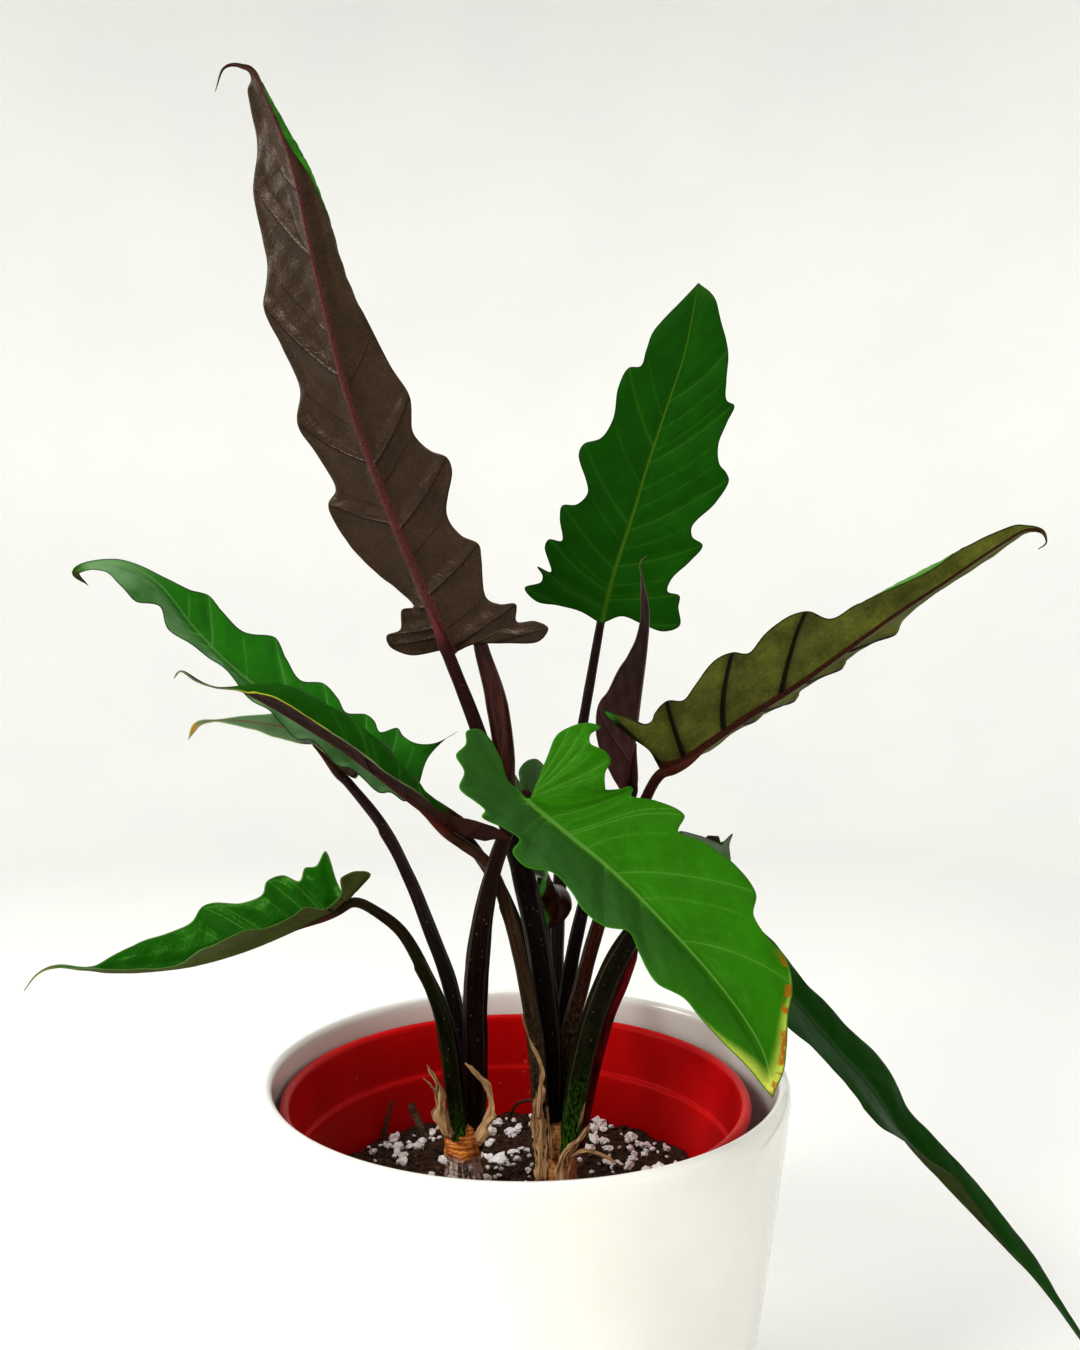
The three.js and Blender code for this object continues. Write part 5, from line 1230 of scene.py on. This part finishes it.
# Blades
LEAVES = {
    "tall": TALL, "upright": UPRIGHT, "left_upper": LEFT_UPPER, "left_middle": LEFT_MIDDLE,
    "left_back": LEFT_BACK, "left_lower": LEFT_LOWER, "front": FRONT, "right": RIGHT, "young": YOUNG,
    "trailing": TRAILING, "inner": INNER,
}
for name, shape in LEAVES.items():
    blade(name, shape)

# Stalks. Girth: [share of the length, half width, half depth].
# Each has its girth, how far its sheath edges reach, its colours with green up to a share, and its path.
SLIM = [[0, 3.4, 3.2], [0.3, 4, 3.4], [0.6, 3.2, 3], [1, 2.3, 2.2]]
THICK = [[0, 4.4, 4], [0.2, 5.6, 4.4], [0.5, 5.6, 4.2], [0.72, 3.8, 3.4], [1, 2.8, 2.6]]
LOWER = [[0, 4, 4], [0.35, 4.4, 3.8], [0.6, 3, 2.8], [1, 2, 2]]
THIN = [[0, 2.6, 2.6], [1, 1.8, 1.8]]
STALKS = {
    "trailing": (THICK, 0.8, ("0d0d07", "20220f", "44801c", 0.44),
                 [[19, -5, 161], [26, -5, 204], [34, -2, 231], [45, 3, 253], [60, 9, 272], [77, 14, 287]]),
    "tall": (THICK, 0.5, ("090607", "1b1314", None, 0),
             [[12, 1, 161], [11, 2, 211], [6, 3, 253], [-2, 5, 290], [-12, 6, 322], [-23, 7, 356]]),
    "left_middle": (SLIM, 0.75, ("1c1410", "44331f", "5e583c", 0.9),
                    [[7, -5, 161], [5, -8, 209], [-2, -8, 250], [-11, -8, 282], [-18, -9, 296]]),
    "right": (SLIM, 0.6, ("1e0a08", "431911", "5e5a42", 0.9),
              [[21, 5, 161], [20, 8, 207], [26, 8, 235], [34, 6, 265], [43, 2, 293], [54, -3, 322]]),
    "young": (SLIM, 0.7, ("100a0d", "22161c", None, 0),
              [[17, 9, 161], [17, 15, 198], [20, 21, 232], [28, 25, 270], [37, 26, 295]]),
    "upright": (SLIM, 0.5, ("130e0f", "2c2022", None, 0),
                [[12, 10, 161], [13, 20, 190], [14, 36, 222], [16, 62, 263], [21, 84, 305], [30, 99, 352]]),
    "left_upper": (SLIM, 0.5, ("0e0c0a", "201b16", None, 0),
                   [[7, 7, 161], [5, 14, 207], [0, 17, 244], [-10, 17, 273], [-23, 17, 295], [-38, 16, 313]]),
    "inner": (THIN, 0, ("120e0b", "28221a", None, 0),
              [[13, 6, 161], [12, 19, 200], [11, 28, 230], [9, 33, 262], [5, 34, 292]]),
    "front": (THICK, 0.84, ("0c0605", "21140f", None, 0),
              [[-24, 0, 161], [-23, -3, 203], [-23, -7, 232], [-20, -12, 266], [-15, -15, 291],
               [-8, -17, 312]]),
    "left_lower": (LOWER, 0.66, ("0d0f07", "20260f", "5a9422", 0.3),
                   [[-30, -3, 161], [-34, -9, 205], [-38, -15, 230], [-46, -23, 253], [-54, -31, 270],
                    [-65, -38, 281]]),
    "left_back": (SLIM, 0.82, ("120d10", "281f22", None, 0),
                  [[-28, 7, 161], [-30, 10, 199], [-36, 13, 233], [-46, 17, 259], [-56, 22, 282],
                   [-69, 26, 306]]),
}
RED_EDGE = [[25, 1, 160], [31, 1, 193], [38, 1, 221], [45, 3, 238], [52, 6, 258]]
RED_GIRTH = [[0, 2.2, 2], [0.9, 3, 2.6], [1, 1.2, 1]]
for name, (girth, wing, colours, points) in STALKS.items():
    shape = LEAVES[name]
    leaf = Leaf(shape)
    radius = max(girth[-1][1:])
    hangs = "hangs" in shape
    path = points + [leaf.below(radius, reach) for reach in ([0.0] if hangs else [-TUCK / 2, TUCK])]
    own = Curve(path).length
    if not hangs:
        sunk = TUCK_GAP + BLADE_THICK / 2 - shape["quilt"] / 2
        path += [leaf.below(radius * 0.95 - sunk, 13.0), leaf.below(radius * 0.35 - sunk, 24.0)]
    add("leafstalk_" + name, "leaf_stalk", ["stalk_" + name],
        tube(path, girth, wing=wing, own_length=own, rough=0.03),
        stalk_material(name, *colours, look_of(name).under_rib))
    if name == "trailing":
        add("leafstalk_red_edge", "leaf_stalk", ["stalk_trailing"], tube(RED_EDGE, RED_GIRTH, sides=28),
            stalk_material("red_edge", "2c0407", "84161a", "7a4c2c", 0.5, specks=0.2))

# The furled new leaf
SPEAR_PATH = [[-5, 12, 300], [-9, 13, 321], [-11, 13, 347], [-15, 13, 371], [-21, 13, 392], [-25, 13, 412],
              [-29, 12, 430]]
SPEAR_GIRTH = [[0, 2.4, 2.4], [0.3, 5, 3.6], [0.5, 5.2, 3.6], [0.8, 2.6, 2], [1, 0.5, 0.5]]
SPEAR_SIDES = 72
WRAP = 0.16
WRAP_PITCH = 210


def spear_piece():
    """A tapering roll whose free edge runs up it in a slow spiral."""
    verts, faces, fields = tube(SPEAR_PATH, SPEAR_GIRTH, sides=SPEAR_SIDES, step=1.0)
    line = Curve(SPEAR_PATH)
    rings = (len(verts) - 2) // SPEAR_SIDES
    s = np.linspace(0, line.length, rings)
    middle = np.repeat(line.at(s)[0], SPEAR_SIDES, 0)
    turn = (np.tile(np.arange(SPEAR_SIDES) / SPEAR_SIDES, rings) + np.repeat(s, SPEAR_SIDES) / WRAP_PITCH) % 1
    verts[:-2] = middle + (verts[:-2] - middle) * (1 - WRAP / 2 + WRAP * turn[:, None])
    fields.append(("turn", np.concatenate([turn, [0.5, 0.5]])))
    return verts, faces, fields


def spear_material():
    p = Paint("spear")
    flat = p.place("flat")
    fine = p.noise(p.stretch(flat, (0.1, 0.8, 1)), 1.0, 4.0, 0.6)
    base = p.mix(p.step(fine, 0.35, 0.7), "2c0f09", "4c1c0e")
    veins = p.noise(p.stretch(flat, (0.03, 0.5, 1)), 1.0, 2.0)
    base = p.mix(p.step(veins, 0.5, 0.62) * 0.5, base, "240a06")
    base = p.mix(p.step(p.field("turn"), 0.93, 0.99) * 0.5, base, "5a3628")
    return p.surface(base, 0.16 + fine * 0.14, p.bump(fine + veins, 0.3), IOR=1.46,
                     Specular_IOR_Level=0.2, Coat_Weight=0.12, Coat_Roughness=0.15)


add("furled_leaf", "leaf_under", ["spear"], spear_piece(), spear_material())

# Dry papery sheaths, torn into strips, and short dead roots on the soil. Widths: [share, half width].
PAPER = [[0, 0.4], [0.2, 1.7], [0.6, 3.4], [0.85, 4.2], [1, 3.4]]
SHRED = [[0, 0.3], [0.4, 1.1], [1, 1.6]]
SHEATHS = {
    "left_a": [
        (PAPER, [[-44, -17, 206], [-39, -15, 196], [-38.5, -12, 187], [-38, -10.5, 179], [-35, -9.5, 170]]),
        (SHRED, [[-46, -14, 199], [-41, -13, 193], [-39.5, -10, 184], [-38.5, -8, 177], [-36, -7, 169]]),
        (SHRED, [[-37, -13.5, 186], [-36, -12, 181], [-35, -11, 176], [-33.5, -10, 170]]),
    ],
    "left_b": [
        (PAPER, [[-27, -17, 207], [-19, -14.5, 197], [-16, -12.5, 188], [-18.5, -10.5, 178],
                 [-23, -9.3, 169]]),
        (SHRED, [[-22, -15, 203], [-17, -13, 195], [-15.5, -10, 185], [-18, -8.5, 176], [-21, -8, 168]]),
        (SHRED, [[-13, -14, 182], [-16, -12, 178], [-19, -10, 172], [-21, -9, 166]]),
    ],
    "right": [
        (SHRED, [[-2, -16, 229], [2, -17, 217], [7, -16, 204], [6, -14, 192], [5, -12, 180]]),
        (PAPER, [[7, -16.5, 207], [7, -15, 196], [6.5, -13, 185], [7, -11, 176], [8, -8.5, 164],
                 [9, -8, 150]]),
        (PAPER, [[5, -13, 192], [4, -11.5, 182], [5, -9.5, 172], [6.5, -8, 160], [7, -7, 149]]),
        (SHRED, [[10, -14, 186], [10, -12.5, 180], [11, -11, 172], [12, -9.5, 160]]),
    ],
    "knot": [
        (PAPER, [[29, -14, 178], [25, -12.5, 171], [21, -11, 164], [20, -10, 156], [18, -9, 146]]),
        (PAPER, [[22, -13, 168], [18, -13.5, 165], [16, -12.5, 158], [17, -11, 150], [16, -9.5, 143]]),
        (SHRED, [[41, -13, 160], [35, -13, 163], [28, -12.5, 165], [22, -11.5, 163], [18, -10.5, 160]]),
        (SHRED, [[27, -10, 186], [25, -9, 178], [22, -8, 170], [19, -7.5, 162]]),
    ],
}
paper = paper_material()
for index, (name, strips) in enumerate(SHEATHS.items()):
    node = "dry_knot_right" if name == "knot" else "dry_sheath_" + name
    parts = [ribbon(path, widths, 10 * index + k) for k, (widths, path) in enumerate(strips)]
    add("paper" + node[3:], "dry_sheath", [node], joined(parts), paper)

TWIGS = [
    (1.3, [[-75, 62, 134], [-73, 63, 147], [-70, 64, 158]]),
    (1.9, [[-61, 66, 155], [-57, 65, 147], [-50, 64, 134]]),
    (0.8, [[6, 11, 179], [-1, 13, 178], [-6, 15, 174], [-8, 16, 167]]),
    (1.2, [[-40, -3, 139], [-46, -8, 141], [-52, -12, 138]]),
    (1.1, [[22, -3, 141], [29, -8, 143], [36, -12, 141], [41, -14, 138]]),
    (1.0, [[8, -4, 140], [3, -11, 142], [-1, -17, 139]]),
]
twigs = [tube(path, [[0, r, r], [0.6, r * 0.8, r * 0.8], [1, r * 0.5, r * 0.5]], 12, rough=0.25)
         for r, path in TWIGS]
add("twigs", "leaf_base", [], joined(twigs), base_material("twig", "6a4630", "33201a", "7a6450"))


# Pale studio: a round floor that curves up into a wall
def stage_material():
    p = Paint("stage")
    base = p.mix(p.step(p.noise(p.object_place(), 3.0), 0.3, 0.7), "eeeeec", "f1f1ee")
    return p.surface(base, 0.75, Specular_IOR_Level=0.1, Emission_Color="fffffa", Emission_Strength=0.12)


def stage_piece():
    bend = WALL_RADIUS - FLOOR_RADIUS
    rows = [(r, 0) for r in (0.01, 400, 900, 1300)]
    rows += [(FLOOR_RADIUS + bend * math.sin(a), bend * (1 - math.cos(a)))
             for a in np.linspace(0, math.pi / 2, 16)]
    rows += [(WALL_RADIUS, z) for z in (1500, 2000, WALL_TOP)]
    verts = [(r * math.cos(a), r * math.sin(a), z) for r, z in rows for a in full_turn(STAGE_SIDES)]
    return verts, ring_faces(len(rows), STAGE_SIDES)[:, [1, 2, 3, 0]].tolist()


mesh_object("stage", *stage_piece(), material=stage_material())


def area_light(name, place, height, size, power):
    """A round lamp that faces the object's middle at a height."""
    light = bpy.data.lights.new(name, "AREA")
    light.shape = "DISK"
    light.size = size
    light.energy = power
    lamp = bpy.data.objects.new(name, light)
    lamp.location = place
    lamp.rotation_euler = (Vector((0, 0, height)) - Vector(place)).to_track_quat("-Z", "Y").to_euler()
    bpy.context.scene.collection.objects.link(lamp)


area_light("key", (-1.25, -1.35, 1.5), 0.35, 0.7, 28)
area_light("side", (-1.5, -0.2, 0.9), 0.4, 0.6, 7)
area_light("top", (0.1, 0.1, 2.3), 0.2, 1.8, 15)
area_light("fill", (1.6, -1.1, 0.9), 0.3, 1.2, 0.8)
world = bpy.data.worlds.new("world")
world.use_nodes = True
world.node_tree.nodes["Background"].inputs["Color"].default_value = (1, 1, 1, 1)
world.node_tree.nodes["Background"].inputs["Strength"].default_value = 0.33
bpy.context.scene.world = world
